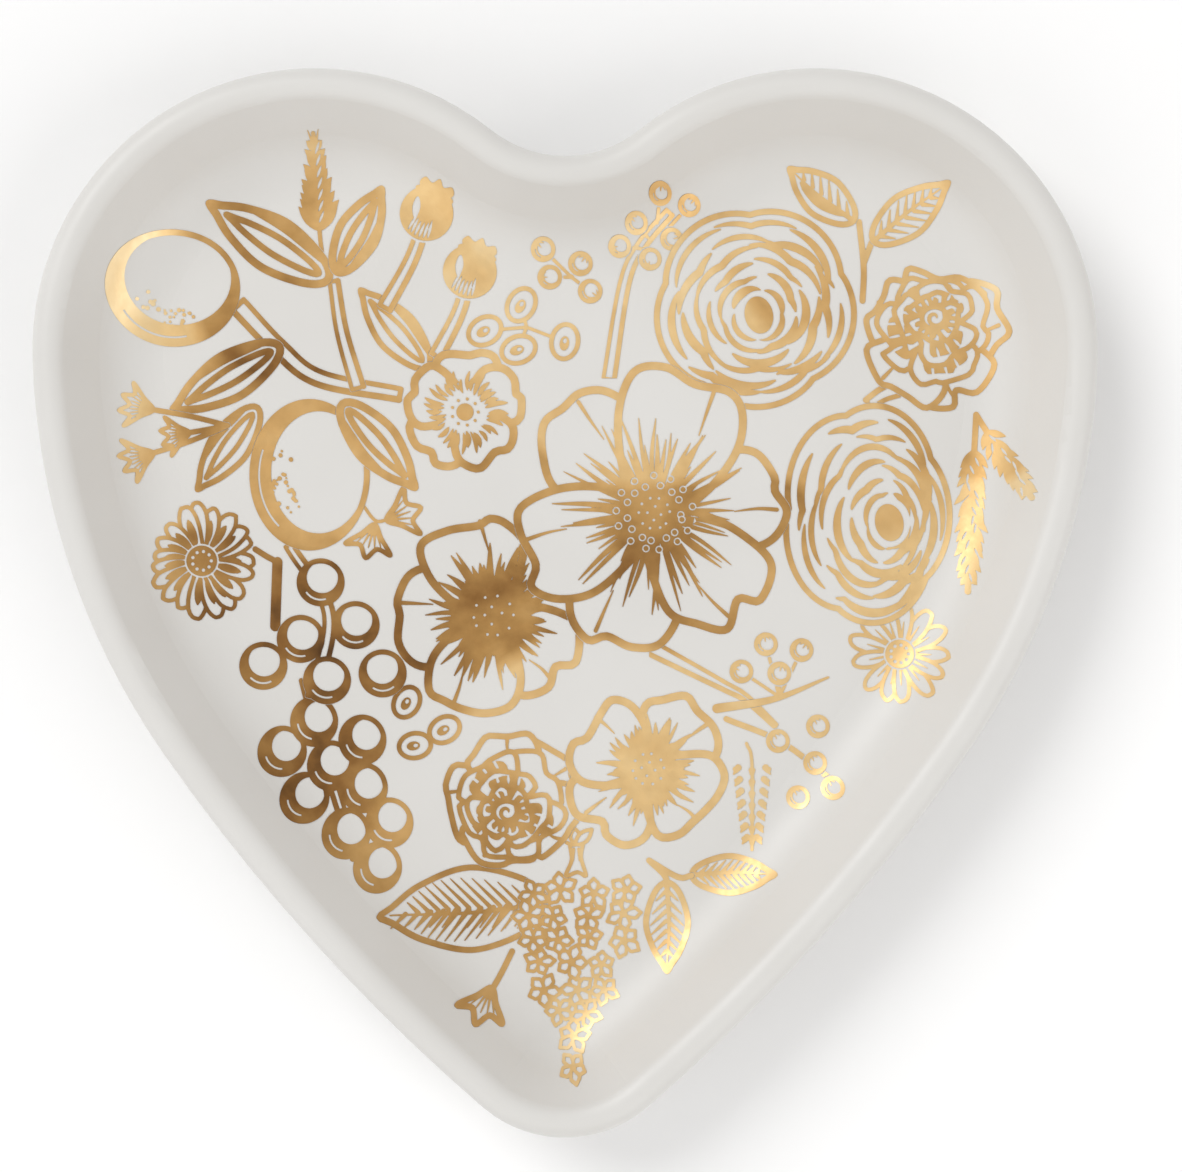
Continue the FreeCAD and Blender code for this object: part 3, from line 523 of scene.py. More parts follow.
def stamens(ink, centre, core, near, far, count, line):
    """Hairs that spread from the middle of a flower, long and short in turn."""
    for k in range(count):
        angle = 360 * (k + ink.random.uniform(-0.35, 0.35)) / count
        share = ink.random.uniform(near, far) * (1.0 if k % 3 else 0.72)
        long = share * reach_at(ink.half, angle)
        bend = ink.random.uniform(-6, 6)
        start = turned(centre, angle, core * 0.8)
        middle = turned(centre, angle + bend * 0.4, (core + long) / 2)
        ink.line([start, middle, turned(centre, angle + bend, long)],
                 line * ink.random.uniform(0.7, 1.15), taper)


def speckled_core(ink, centre, core):
    """A solid button with small bare specks and a ring of dots round it."""
    ink.fill(ellipse(centre, core, core * 0.95))
    for ring, count in ((0.3, 4), (0.68, 10)):
        for k in range(count):
            angle = 360 * (k + ink.random.uniform(-0.2, 0.2)) / count
            ink.scrape(ellipse(turned(centre, angle, core * ring), 0.17, 0.17))


def anemone(node, seed, count, turn, core, near, far, hairs, line, beads=0):
    """Broad petals round a dark button, with hairs and sometimes two rings of beads."""
    ink = Ink(node, seed)
    whorl(ink, count, turn)
    centre = ink.at(0.02, 0.0)
    stamens(ink, centre, core, near, far, hairs, line)
    for k in range(beads):
        angle = 360 * k / beads + ink.random.uniform(-4, 4)
        away = core * (1.22 + 0.42 * (k % 2)) + ink.random.uniform(-0.15, 0.15)
        spot = turned(centre, angle, away)
        ink.scrape(ellipse(spot, 0.44, 0.44))
        ink.dot(spot, 0.27)
    speckled_core(ink, centre, core)


def pansy(node, seed):
    """Rounded wavy petals with short rays round a small eye."""
    ink = Ink(node, seed)
    whorl(ink, 5, 90, width=1.42, ruffle=0.05, notch=0.1, folded=False)
    centre = ink.at(0.0, -0.04)
    ink.scrape(ellipse(centre, 3.3, 3.3))
    for k in range(34):
        angle = 360 * k / 34 + ink.random.uniform(-3, 3)
        near = reach_at(ink.half, angle) * ink.random.uniform(0.3, 0.38)
        far = reach_at(ink.half, angle) * ink.random.uniform(0.52, 0.68)
        ink.line([turned(centre, angle, near), turned(centre, angle + 3, (near + far) / 2),
                  turned(centre, angle, far)], ink.random.uniform(0.42, 0.62), swell)
    for k in range(9):
        ink.dot(turned(centre, 40 * k, 1.45), 0.17)
    ink.fill(ellipse(centre, 0.95, 0.95))


def ranunculus(node, seed, eye):
    """Many thin petals packed in six rings round a solid eye."""
    ink = Ink(node, seed)
    middle, hub = ink.at(0, 0), ink.at(*eye)
    start = ink.random.uniform(0, 360)
    rings, points = 6, 120

    def scallop(share, count, depth):
        """A wavy ring, drawn towards the eye as it gets smaller."""
        turns = np.radians(np.linspace(0, 360, points, endpoint=False))
        wave = np.abs(np.sin(turns * count / 2 + math.radians(start))) ** 0.8
        size = share * (1 - depth + depth * wave)[:, None]
        away = (middle - hub) * (share - 0.2)
        return hub + away + ink.half * size * np.stack([np.cos(turns), np.sin(turns)], axis=1)

    edge = scallop(0.98, 5, 0.08)
    ink.cover(edge, 0.3)
    ink.loop(edge, PLAIN)
    for ring in range(rings):
        share = 0.86 - 0.6 * ring / (rings - 1)
        shape = scallop(share, 5 if ring < 3 else 4, 0.1)
        start += 47
        count = 7 if ring < 2 else 5 if ring < 4 else 4
        first = ink.random.randrange(0, points)
        for k in range(count):
            a = first + int(points * k / count + ink.random.uniform(0, 3))
            b = a + int(points / count * ink.random.uniform(0.82, 1.22))
            arc = shape[np.arange(a, b) % points]
            ends = ink.random.uniform(-0.05, 0.05), ink.random.uniform(-0.05, 0.05)
            drift = np.linspace(*ends, len(arc))
            arc = hub + (arc - hub) * (1 + drift)[:, None]
            ink.stroke(arc, ink.random.uniform(0.6, 1.0), swell)
    ink.scrape(ellipse(hub, 2.3, 2.7))
    ink.fill(ellipse(hub, 1.55, 2.05, 12))


def rose(node, seed, turn=0.0, heart=(0.0, 0.25)):
    """Open outer petals round a heart of rolled petals, with shaded folds between them."""
    ink = Ink(node, seed)
    centre, hub = ink.at(0.0, 0.0), ink.at(*heart)
    whorl(ink, 5, turn, width=1.5, line=PLAIN, ruffle=0.1, notch=0.08)
    for ring, (share, count) in enumerate(((0.74, 4), (0.52, 3), (0.34, 3))):
        place = centre + (hub - centre) * (0.4 + 0.3 * ring)
        for k in range(count):
            angle = turn + 50 * ring + 360 * k / count + ink.random.uniform(-10, 10)
            long = share * reach_at(ink.half, angle)
            broad = 1.75 * long * math.sin(math.pi / count)
            outline = petal(place, angle, long, broad, ink.random, 0.08, 0.3, 0.06)
            ink.cover(outline, 0.2)
            ink.loop(outline, PLAIN * 0.85)
            if k + ring:
                rolled = petal(turned(place, angle, long * 0.2), angle, long * 0.66, broad * 0.66,
                               ink.random, 0.05, 0.3)
                ink.fill(rolled)
                for cut in range(3):
                    a = turned(place, angle, long * 0.92, broad * (-0.24 + 0.22 * cut))
                    b = turned(place, angle, long * ink.random.uniform(0.5, 0.68),
                               broad * (-0.18 + 0.16 * cut))
                    ink.scrape(blade(a, b, 0.34))
                ink.loop(outline, PLAIN * 0.85)
    ink.cover(ellipse(hub, 1.5, 1.3), 0.1)
    ink.loop(ellipse(hub, 1.4, 1.2), 0.5)
    spiral = [turned(hub, 40 * k, 0.2 + 0.09 * k) for k in range(11)]
    ink.line(spiral, 0.42, swell)


def daisy(node, seed, count, filled):
    """Narrow petals round a stippled button. A share of the petals is filled."""
    ink = Ink(node, seed)
    centre = ink.at(0, 0)
    for k in range(count):
        angle = 360 * k / count + ink.random.uniform(-5, 5)
        long = reach_at(ink.half, angle) * ink.random.uniform(0.86, 1.0)
        outline = petal(centre, angle, long, long * 0.3, ink.random, 0.04, 0.2)
        ink.cover(outline, 0.15)
        ink.loop(outline, 0.42)
        far, width, shape = (0.75, 0.9, swell) if ink.random.random() < filled else (0.66, 0.3, fade)
        ink.line([turned(centre, angle, long * 0.3), turned(centre, angle, long * far)], width, shape)
    button = 0.27 * ink.half.mean()
    ink.cover(ellipse(centre, button + 0.2, button + 0.2))
    ink.fill(ellipse(centre, button, button))
    for k in range(9):
        ink.scrape(ellipse(turned(centre, 40 * k, button * 0.62), 0.2, 0.2))


def ball(ink, centre, across, along, line, crescent, shade_from=215, dots=0):
    """A round fruit: outline, a shaded crescent with a glint in it, and stippling beside it."""
    outline = ellipse(centre, across, along)
    ink.cover(outline, line * 0.5)
    ink.fill(outline)
    lit = turned(centre, shade_from + 180, crescent * across * 0.75)
    room = 1 - crescent * 0.62
    ink.scrape(ellipse(lit, across * room - line * 0.3, along * room - line * 0.3))
    share = 1 - crescent * 0.45
    span = shade_from - 38, shade_from + 38
    outer, inner = [
        ellipse(centre, across * share - drop, along * share - drop, 0, *span)
        for drop in (0.0, 0.22)]
    ink.scrape(np.vstack([outer, inner[::-1]]))
    ink.loop(outline, line)
    for k in range(dots):
        angle = shade_from + ink.random.uniform(-60, 60)
        share = ink.random.uniform(0.4, 0.74)
        ink.dot(turned(centre, angle, share * min(across, along)), ink.random.uniform(0.12, 0.26))


def orange(node, seed, shade_from):
    """A large fruit that fills its box."""
    ink = Ink(node, seed)
    ball(ink, ink.at(0, 0), *(ink.half - BOLD * 0.5), PLAIN, 0.22, shade_from, 30)


def blade(base, tip, width, belly=0.45):
    """Outline of a leaf: base, two curved sides and a point."""
    angle, long = toward(base, tip), math.dist(base, tip)
    sides = [(0.12, 0.3), (belly, 0.5), (0.75, 0.33), (0.93, 0.09)]
    right = [turned(base, angle, a * long, -b * width) for a, b in sides]
    left = [turned(base, angle, a * long, b * width) for a, b in reversed(sides)]
    return smooth([base] + right + [tip] + left, closed=True, step=0.4)


def leaf(ink, base, tip, width, inside, veins=0, line=PLAIN):
    """A leaf between two places in the motif's box.

    Its inside is a narrow inner blade, a shaded half, or an open ladder of veins."""
    base, tip = ink.at(*base), ink.at(*tip)
    angle, long = toward(base, tip), math.dist(base, tip)
    outline = blade(base, tip, width)
    ink.cover(outline, line * 0.4)
    ink.loop(outline, line)

    def shaded(*places):
        """A solid patch: places are shares of the length and the width."""
        patch = [turned(base, angle, a * long, b * width) for a, b in places]
        ink.fill(smooth(patch, closed=True, step=0.4))

    if inside == "inner":
        ends = turned(base, angle, long * 0.08), turned(base, angle, long * 0.86)
        ink.loop(blade(*ends, width * 0.34), line * 0.8)
        shaded((0.1, -0.2), (0.4, -0.42), (0.72, -0.3), (0.45, -0.3))
        return
    bend = turned(base, angle, long * 0.5, width * 0.05)
    ink.line([base, bend, turned(base, angle, long * 0.94)], line * 0.85, fade)
    if inside == "half":
        shaded((0.14, 0.03), (0.45, 0.07), (0.8, 0.03), (0.72, 0.2), (0.45, 0.3), (0.2, 0.16))
    for k in range(veins):
        along = (0.1 + 0.68 * k / max(veins - 1, 1)) * long
        out = 0.42 * width * math.sin(math.pi * min(0.95, along / long + 0.12)) + 0.2
        for side in (-1, 1):
            if inside == "half" and side == 1:
                continue
            start = turned(base, angle, along, side * 0.1)
            end = turned(base, angle, along + out * 0.75, side * out * 0.86)
            ink.line([start, (start + end) / 2, end], FINE + 0.1, fade)


def branch(ink, points, width=1.5, line=0.55, end=0.7):
    """A woody stem drawn as two edges. Its far end has the given share of its width."""
    path = smooth(points)
    step = np.gradient(path, axis=0)
    side = np.stack([-step[:, 1], step[:, 0]], axis=1) / np.linalg.norm(step, axis=1)[:, None]
    offset = side * np.linspace(1.0, end, len(path))[:, None] * width / 2
    left, right = path + offset, path - offset
    around = np.vstack([left, right[::-1]])
    ink.cover(around, 0.1)
    ink.loop(around, line)
    ink.stroke(right, line * 1.25)


def floret(ink, centre, size, turn):
    """A tiny flower of five pointed petals."""
    for k in range(5):
        angle = turn + 72 * k + ink.random.uniform(-8, 8)
        tip = turned(centre, angle, size * ink.random.uniform(0.85, 1.1))
        outline = blade(turned(centre, angle, size * 0.1), tip, size * 0.62, 0.6)
        ink.cover(outline, 0.08)
        ink.loop(outline, FINE)
    ink.dot(centre, size * 0.24)


def bell(ink, centre, across, along, turn):
    """A small open ring flower with an eye."""
    ring = ellipse(centre, across, along, turn)
    ink.cover(ring, 0.2)
    ink.loop(ring, 0.5)
    ink.fill(ellipse(turned(centre, turn, -across * 0.1), across * 0.42, along * 0.36, turn))
    ink.scrape(ellipse(turned(centre, turn, across * 0.05), across * 0.16, along * 0.16, turn))


def berry(ink, centre, radius, calyx, line=0.45):
    """A small round berry with three hairs at its calyx, whose direction is in degrees."""
    ink.cover(ellipse(centre, radius, radius), 0.15)
    ball(ink, centre, radius - line / 2, radius - line / 2, line, 0.26)
    root = turned(centre, calyx, radius * 0.9)
    for off in (-35, 0, 35):
        ink.line([root, turned(root, calyx + 180 + off, radius * 0.7)], 0.3, fade)


def tuft(ink, root, angle, size, count=5, line=0.5):
    """A small trumpet floret with a ragged mouth."""
    mouth = []
    for k in range(count):
        off = -42 + 84 * k / (count - 1)
        mouth.append(turned(root, angle + off, size * (0.72 if k % 2 else 1.0)))
    outline = smooth([root] + [turned(root, angle - 40, size * 0.45)] + mouth
                     + [turned(root, angle + 40, size * 0.45)], closed=True, step=0.3)
    ink.cover(outline, 0.15)
    ink.loop(outline, line)
    for k in range(count):
        ink.line([root, turned(root, angle - 30 + 60 * k / (count - 1), size * 0.7)], FINE, fade)


# ---- the bouquet, back to front


def draw_left_stems():
    ink = Ink("gold_branch_left", 3)
    branch(ink, ink.path((-1, 1), (-0.5, 0.1), (0.0, -0.55), (1.0, -0.9)), 1.7)
    ink = Ink("gold_stem_left", 4)
    branch(ink, ink.path((1, -1.1), (-0.2, 0), (-0.8, 1)), 1.3, 0.45)


LEFT_LEAVES = [
    ("gold_leaf_lobe_outer", 5, (1, -0.95), (-1, 0.95), 5.6, BOLD),
    ("gold_leaf_lobe_inner", 6, (-0.9, -1), (0.85, 1), 4.2, BOLD),
    ("gold_leaf_middle", 7, (0.95, -1), (-0.95, 1), 4.4, PLAIN),
    ("gold_leaf_branch_upper", 8, (0.98, 0.95), (-1, -0.95), 4.8, BOLD),
    ("gold_leaf_branch_lower", 9, (0.9, 0.95), (-0.95, -1), 4.2, PLAIN),
]


def draw_left_leaves():
    for node, seed, base, tip, width, line in LEFT_LEAVES:
        ink = Ink(node, seed)
        leaf(ink, base, tip, width, "inner", line=line)


def draw_wheat():
    ink = Ink("gold_wheat", 11)
    foot, neck, top = ink.at(0.45, -1), ink.at(0.1, -0.3), ink.at(-0.1, 1)
    ink.line([foot, neck, top], FINE + 0.1)
    angle = toward(neck, top)
    for k in range(10):
        place = neck + (top - neck) * (0.93 * k / 10)
        for side in (-1, 1):
            reach = 3.5 - 0.24 * k
            out = turned(place, angle + side * ink.random.uniform(30, 46), reach)
            ink.fill(blade(place, out, 1.25 - 0.06 * k))
            beard = turned(place, angle + side * 14, 0.5), turned(place, angle + side * 16, 2.1)
            ink.line(beard, 0.3, fade)
    ink.fill(blade(turned(top, angle, -2.0), top, 1.1))
    for k in range(7):
        spot = neck + (top - neck) * (0.08 + 0.12 * k)
        ink.scrape(blade(spot, turned(spot, angle + ink.random.choice((-24, 24)), 1.5), 0.3))


def draw_pods():
    ink = Ink("gold_poppy_pods", 12)
    heads = (ink.at(-0.27, 0.62), ink.at(-1, -0.45)), (ink.at(0.48, -0.04), ink.at(-0.1, -1))
    for head, foot in heads:
        branch(ink, [foot, (foot + head) / 2 + (0.6, 0.2), head], 1.3, 0.5)
        angle = toward(foot, head)
        cap = [turned(head, angle - 36 + 12 * k, 3.9 if k % 2 else 3.3) for k in range(7)]
        ink.fill(smooth(cap + [turned(head, angle, 1.8)], closed=True, step=0.2))
        pod = ellipse(head, 2.95, 2.95)
        ink.cover(pod, 0.25)
        ink.fill(pod)
        for k in range(6):
            off = -48 + 19 * k
            low = turned(head, angle + 180 + off * 0.55, 2.7)
            high = turned(head, angle + 180 + off * 1.5, 0.9)
            ink.scrape(blade(low, high, 0.34))
        ink.scrape(blade(turned(head, angle + 50, 2.1), turned(head, angle + 140, 1.5), 0.9))
        ink.line([turned(head, angle + a, 2.95) for a in (-42, -20, 0, 20, 42)], 0.5)


def draw_bells():
    ink = Ink("gold_bells_upper", 13)
    spots = [((-0.72, -0.1), 30), ((-0.05, 0.62), 60), ((-0.1, -0.62), 20), ((0.75, -0.4), 80)]
    for (u, v), turn in spots:
        ink.line(ink.path((0.05, 0.0), (u * 0.8, v * 0.8)), FINE)
    for (u, v), turn in spots:
        bell(ink, ink.at(u, v), 1.9, 1.45, turn)
    ink = Ink("gold_bells_left", 14)
    for u, v, turn in ((-0.55, 0.62, 60), (0.6, -0.15, 30), (-0.3, -0.6, 10)):
        bell(ink, ink.at(u, v), 1.75, 1.35, turn)


def draw_berries():
    ink = Ink("gold_berry_knot", 15)
    hub = ink.at(0.1, -0.2)
    for spot in ink.path((-0.68, 0.62), (-0.5, -0.2), (0.35, 0.2), (0.62, -0.62)):
        ink.line([hub, spot], FINE)
        berry(ink, spot, 1.35, toward(spot, hub) + 180)
    ink = Ink("gold_berry_sprig", 16)
    spine = ink.path((-0.98, -1.35), (-0.65, -0.2), (-0.3, 0.25), (0.3, 0.65))
    branch(ink, spine, 1.2, 0.42)
    for u, v in ((-0.75, 0.25), (-0.4, 0.52), (0.1, 0.86), (0.72, 0.74), (0.35, 0.34), (-0.1, 0.1)):
        ink.line(ink.path((u * 0.4, 0.1 + v * 0.5), (u, v)), FINE)
        berry(ink, ink.at(u, v), 1.25, toward(ink.at(0, 0.3), ink.at(u, v)))


def draw_bell_florets():
    ink = Ink("gold_bell_florets", 17, 4.0)
    root = ink.at(1.3, 0.1)
    for u, v, size in ((-0.25, 0.5, 3.6), (-0.25, -0.6, 3.6), (0.5, -0.08, 3.2)):
        mouth = ink.at(u, v)
        ink.line([root, (root + mouth) / 2 + (0, 0.3 * v), mouth], PLAIN * 0.9)
        tuft(ink, mouth, toward(root, mouth), size, 7, 0.42)


def draw_right_leaves():
    ink = Ink("gold_leaf_stems_right", 20)
    ink.line(ink.path((0, -1.1), (0.1, -0.2), (-0.3, 1)), PLAIN)
    ink.line(ink.path((0.1, -0.1), (0.9, 0.55)), PLAIN)
    ink = Ink("gold_leaf_notch_left", 21)
    leaf(ink, (0.95, -0.95), (-0.95, 0.95), 4.4, "half", 6)
    ink = Ink("gold_leaf_notch_right", 22)
    leaf(ink, (-0.95, -0.95), (0.95, 0.95), 4.6, "open", 7)


def draw_plumes():
    ink = Ink("gold_plumes", 23)
    root = ink.at(-0.35, 1.0)
    for tip, width in ((ink.at(0.95, 0.05), 2.9), (ink.at(-0.6, -1.0), 3.6)):
        ink.line([root, (root + tip) / 2, tip], PLAIN)
        angle, long = toward(root, tip), math.dist(root, tip)
        rows = int(long / 1.25)
        for k in range(rows):
            share = 0.2 + 0.76 * k / rows
            full = math.sin(math.pi * min(share + 0.05, 0.97)) ** 0.6
            place = turned(root, angle, long * share)
            for side in (-1, 1):
                lean = angle + side * ink.random.uniform(26, 44)
                ink.fill(blade(place, turned(place, lean, width * 0.62 * full + 0.7), 0.8))
        for k in range(rows):
            spot = turned(root, angle, long * (0.24 + 0.7 * k / rows), ink.random.uniform(-0.6, 0.6))
            ink.scrape(blade(spot, turned(spot, angle + ink.random.uniform(-30, 30), 1.2), 0.28))


def draw_berry_twigs():
    ink = Ink("gold_berry_twig", 24)
    ink.line(ink.path((-1.3, -1.0), (0.0, -0.75), (1.2, -0.2)), 1.0, fade)
    for spot in ink.path((-0.2, 0.65), (0.6, 0.5), (-0.75, -0.05), (0.1, -0.1)):
        ink.line([ink.at(0.1, -0.7), spot], FINE)
        berry(ink, spot, 1.3, toward(ink.at(0, -0.5), spot))
    ink = Ink("gold_berry_twig_low", 25)
    ink.line(ink.path((-1.1, 0.8), (-0.1, 0.3), (0.9, -0.6)), PLAIN)
    for spot in ink.path((-0.2, 0.35), (0.5, 0.65), (0.45, -0.1), (0.75, -0.6), (0.15, -0.8)):
        berry(ink, spot, 1.3, 120)


def draw_catkin():
    ink = Ink("gold_catkin", 26)
    top, low = ink.at(0, 1), ink.at(0, -1)
    ink.line([top + (-0.6, 2.2), top, low], FINE)
    for row in range(7):
        for side in (-1, 0, 1):
            spot = top + (low - top) * (0.08 + 0.135 * row)
            spot = spot + (side * (1.5 - 0.16 * row), 0.3 * abs(side))
            ink.line([spot, spot + (side * 0.5, -0.7)], 0.75, fade)
            ink.dot(spot + (side * 0.35, -0.15), 0.26)


def draw_trumpets():
    ink = Ink("gold_trumpets", 27)
    tuft(ink, ink.at(-0.5, 0.4), 255, 3.8)
    tuft(ink, ink.at(-0.2, 0.5), 20, 4.0)
    ink.line(ink.path((-0.9, 1.0), (-0.5, 0.5), (-0.2, 0.5)), FINE)


def draw_grapes():
    ink = Ink("gold_grapes_lower", 28)
    branch(ink, ink.path((-0.3, 1.0), (-0.05, 0.2), (0.3, -0.7)), 1.0, 0.45)
    spots = [(0.66, -0.9), (0.22, -0.53), (0.82, -0.42), (-0.36, -0.14), (0.46, -0.04), (0.0, 0.2),
             (-0.68, 0.36), (-0.24, 0.68), (0.44, 0.48)]
    for u, v in spots:
        turn = ink.random.uniform(215, 260)
        ball(ink, ink.at(u * 0.84, v * 0.88), 2.35, 2.5, 0.55, 0.42, turn)
    ink = Ink("gold_grapes_upper", 29)
    branch(ink, ink.path((-0.1, -1.0), (0.1, 0.2), (-0.4, 1.2)), 1.2, 0.45)
    spots = [(-0.72, -0.55), (0.08, -0.76), (0.78, -0.66), (-0.25, -0.16), (0.44, 0.04), (0.0, 0.66)]
    for u, v in spots:
        turn = ink.random.uniform(235, 280)
        ball(ink, ink.at(u, v), 2.35, 2.35, 0.55, 0.32, turn)


def draw_lilac():
    ink = Ink("gold_lilac", 30)
    rows = int(2 * ink.half[1] / 2.5)
    for row in range(rows):
        v = -0.92 + 1.84 * row / (rows - 1)
        span = ink.half[0] * min(1.0, 0.12 + 0.95 * row / (rows - 3))
        count = max(1, round(2 * span / 3.5))
        for k in range(count):
            off = (k - (count - 1) / 2) * 3.4 + ink.random.uniform(-0.6, 0.6)
            place = ink.at(0, v) + (off + 0.5 * (row % 2), ink.random.uniform(-0.4, 0.4))
            floret(ink, place, ink.random.uniform(1.55, 2.0), ink.random.uniform(0, 90))


def draw_calyx():
    ink = Ink("gold_calyx", 35)
    neck = smooth(ink.path((-0.35, 0.5), (-0.25, -0.3), (-0.6, -0.95), (0.1, -0.8), (0.6, -0.95),
                           (0.3, -0.2), (0.4, 0.5)), closed=True)
    ink.cover(neck, 0.2)
    ink.loop(neck, 0.42)
    for u, v in ((-1.0, 0.9), (-0.1, 1.0), (0.95, 0.95)):
        sepal = blade(ink.at(0.02, 0.35), ink.at(u, v), 1.1)
        ink.cover(sepal, 0.1)
        ink.loop(sepal, 0.4)
    for u in (-0.12, 0.16):
        ink.line(ink.path((u, 0.15), (u * 1.2, -0.35)), 0.3, fade)


def draw_low_leaves():
    ink = Ink("gold_leaf_veined", 31)
    leaf(ink, (1, 0.1), (-1, -0.15), 9.0, "open", 12, PLAIN)
    for k in range(11):
        place = ink.at(0.8 - 0.15 * k, 0.08 - 0.02 * k)
        ink.line([place, place + (-1.5, -2.6 + 0.12 * k)], 0.5, fade)
    ink = Ink("gold_leaf_low_right", 32)
    leaf(ink, (-1, 0), (1, 0.1), 4.0, "open", 9)
    ink = Ink("gold_leaf_low_middle", 33)
    leaf(ink, (0, 1), (0, -1), 4.6, "open", 7)
    ink.line(ink.path((-0.8, 1.5), (-0.1, 1.15), (0, 0.9)), PLAIN)
    ink.line(ink.path((-0.8, 1.5), (0.5, 1.12), (1.1, 1.16)), PLAIN)


def draw_bud():
    ink = Ink("gold_bud", 34)
    ink.line(ink.path((0.9, 1), (0.4, 0.4), (-0.1, -0.1)), PLAIN)
    tuft(ink, ink.at(0.05, 0.1), 245, 4.0, 5, 0.6)


def draw_back_stems():
    ink = Ink("gold_grape_stem", 36)
    top = ink.at(1.0, 0.65)
    ink.line([top, ink.at(0.92, 0.0), ink.at(0.8, -1.0)], 1.1)
    ink.line([ink.at(-1.0, 0.98), ink.at(0.0, 0.8), top], PLAIN)
    ink = Ink("gold_rose_stem", 37)
    branch(ink, ink.path((1.0, 1.0), (0.0, 0.25), (-1.0, -1.0)), 1.5, 0.5)
    ink = Ink("gold_branch_right", 38)
    branch(ink, ink.path((-1.7, 1.7), (-0.1, 0.35), (0.4, -0.1), (1.0, -1.0)), 1.5, 0.45, 0.2)


def draw_bouquet():
    draw_back_stems()
    draw_left_stems()
    draw_wheat()
    draw_left_leaves()
    draw_pods()
    draw_berries()
    draw_bells()
    draw_bell_florets()
    draw_right_leaves()
    draw_plumes()
    draw_berry_twigs()
    draw_catkin()
    draw_grapes()
    draw_trumpets()
    daisy("gold_daisy_left", 40, 19, 0.9)
    daisy("gold_daisy_right", 41, 13, 0.1)
    orange("gold_orange_upper", 42, 245)
    orange("gold_orange_lower", 43, 195)
    ink = Ink("gold_leaf_centre", 10)
    leaf(ink, (-0.95, 0.95), (0.95, -0.95), 4.6, "inner", line=BOLD)
    pansy("gold_pansy", 44)
    ranunculus("gold_ranunculus_right", 45, (0.35, -0.1))
    rose("gold_rose_right", 46, 15)
    ranunculus("gold_ranunculus_upper", 47, (0.05, -0.1))
    draw_low_leaves()
    draw_bud()
    draw_lilac()
    draw_calyx()
    rose("gold_rose_low", 48, 40, (-0.1, -0.2))
    anemone("gold_anemone_left", 50, 5, 40, 3.2, 0.5, 0.72, 84, 0.7)
    anemone("gold_anemone_large", 49, 6, 14, 2.5, 0.5, 0.76, 66, 0.56, 27)
    anemone("gold_anemone_low", 51, 4, 50, 2.5, 0.48, 0.72, 66, 0.66)


draw_bouquet()


# ---- materials


class Finish:
    """A material, with short ways to wire procedural nodes to its shader."""

    def __init__(self, name):
        self.material = bpy.data.materials.new(name)
        self.material.use_nodes = True
        self.tree = self.material.node_tree

    def feed(self, node, inputs):
        """Sets a node's inputs: a plain value stays on the socket, an output is wired to it."""
        for socket, value in inputs.items():
            if isinstance(value, bpy.types.NodeSocket):
                self.tree.links.new(value, node.inputs[socket])
            else:
                node.inputs[socket].default_value = value

    def shade(self, inputs):
        """Sets the shader's inputs."""
        self.feed(self.tree.nodes["Principled BSDF"], inputs)

    def node(self, kind, inputs):
        """A new node with its inputs set."""
        made = self.tree.nodes.new(kind)
        self.feed(made, inputs)
        return made

    def place(self):
        """The point on the surface, in the object's own metres."""
        return self.node("ShaderNodeTexCoord", {}).outputs["Object"]

    def noise(self, scale, detail=3.0, roughness=0.5):
        """Soft blobs. Scale is blobs per metre."""
        return self.node("ShaderNodeTexNoise", {
            "Vector": self.place(), "Scale": scale, "Detail": detail, "Roughness": roughness,
        }).outputs["Fac"]

    def ramp(self, factor, stops):
        """Colours along a factor: stops are (place, (red, green, blue))."""
        node = self.node("ShaderNodeValToRGB", {"Fac": factor})
        while len(node.color_ramp.elements) < len(stops):
            node.color_ramp.elements.new(0.5)
        for element, (at, colour) in zip(node.color_ramp.elements, stops):
            element.position = at
            element.color = (*colour, 1.0)
        return node.outputs["Color"]

    def grey(self, factor, stops):
        """Grey levels along a factor."""
        return self.ramp(factor, [(at, (level, level, level)) for at, level in stops])

    def spread(self, factor, low, high, start=0.3, end=0.7):
        """Stretches a factor to the range a socket needs."""
        return self.node("ShaderNodeMapRange", {
            "Value": factor, "From Min": start, "From Max": end, "To Min": low, "To Max": high,
        }).outputs["Result"]

    def total(self, first, second):
        """The sum of two factors."""
        return self.node("ShaderNodeMath", {0: first, 1: second}).outputs["Value"]

    def bump(self, height, strength, distance):
        """A fine relief. Distance is in metres."""
        relief = self.node("ShaderNodeBump", {
            "Height": height, "Strength": strength, "Distance": distance})
        self.shade({"Normal": relief.outputs["Normal"]})


def glaze_material():
    """Clear gloss over warm white porcelain, with the faint ripple of a poured glaze."""
    finish = Finish("glazed_porcelain")
    finish.shade({
        "Base Color": finish.ramp(finish.noise(45.0), [
            (0.3, (0.655, 0.642, 0.615)), (0.7, (0.685, 0.674, 0.65))]),
        "Roughness": finish.spread(finish.noise(160.0), 0.4, 0.5),
        "IOR": 1.5,
        "Coat Weight": 0.1,
        "Coat Roughness": 0.35,
    })
    finish.bump(finish.noise(220.0, 2.0), 0.12, 0.0002)
    return finish.material


def bisque_material():
    """Bare fired porcelain: matt, with a fine grain."""
    finish = Finish("bisque")
    finish.shade({
        "Base Color": finish.ramp(finish.noise(700.0), [
            (0.3, (0.66, 0.63, 0.58)), (0.7, (0.74, 0.72, 0.68))]),
        "Roughness": finish.spread(finish.noise(900.0), 0.6, 0.8),
    })
    finish.bump(finish.noise(4000.0, 4.0), 0.3, 0.0001)
    return finish.material


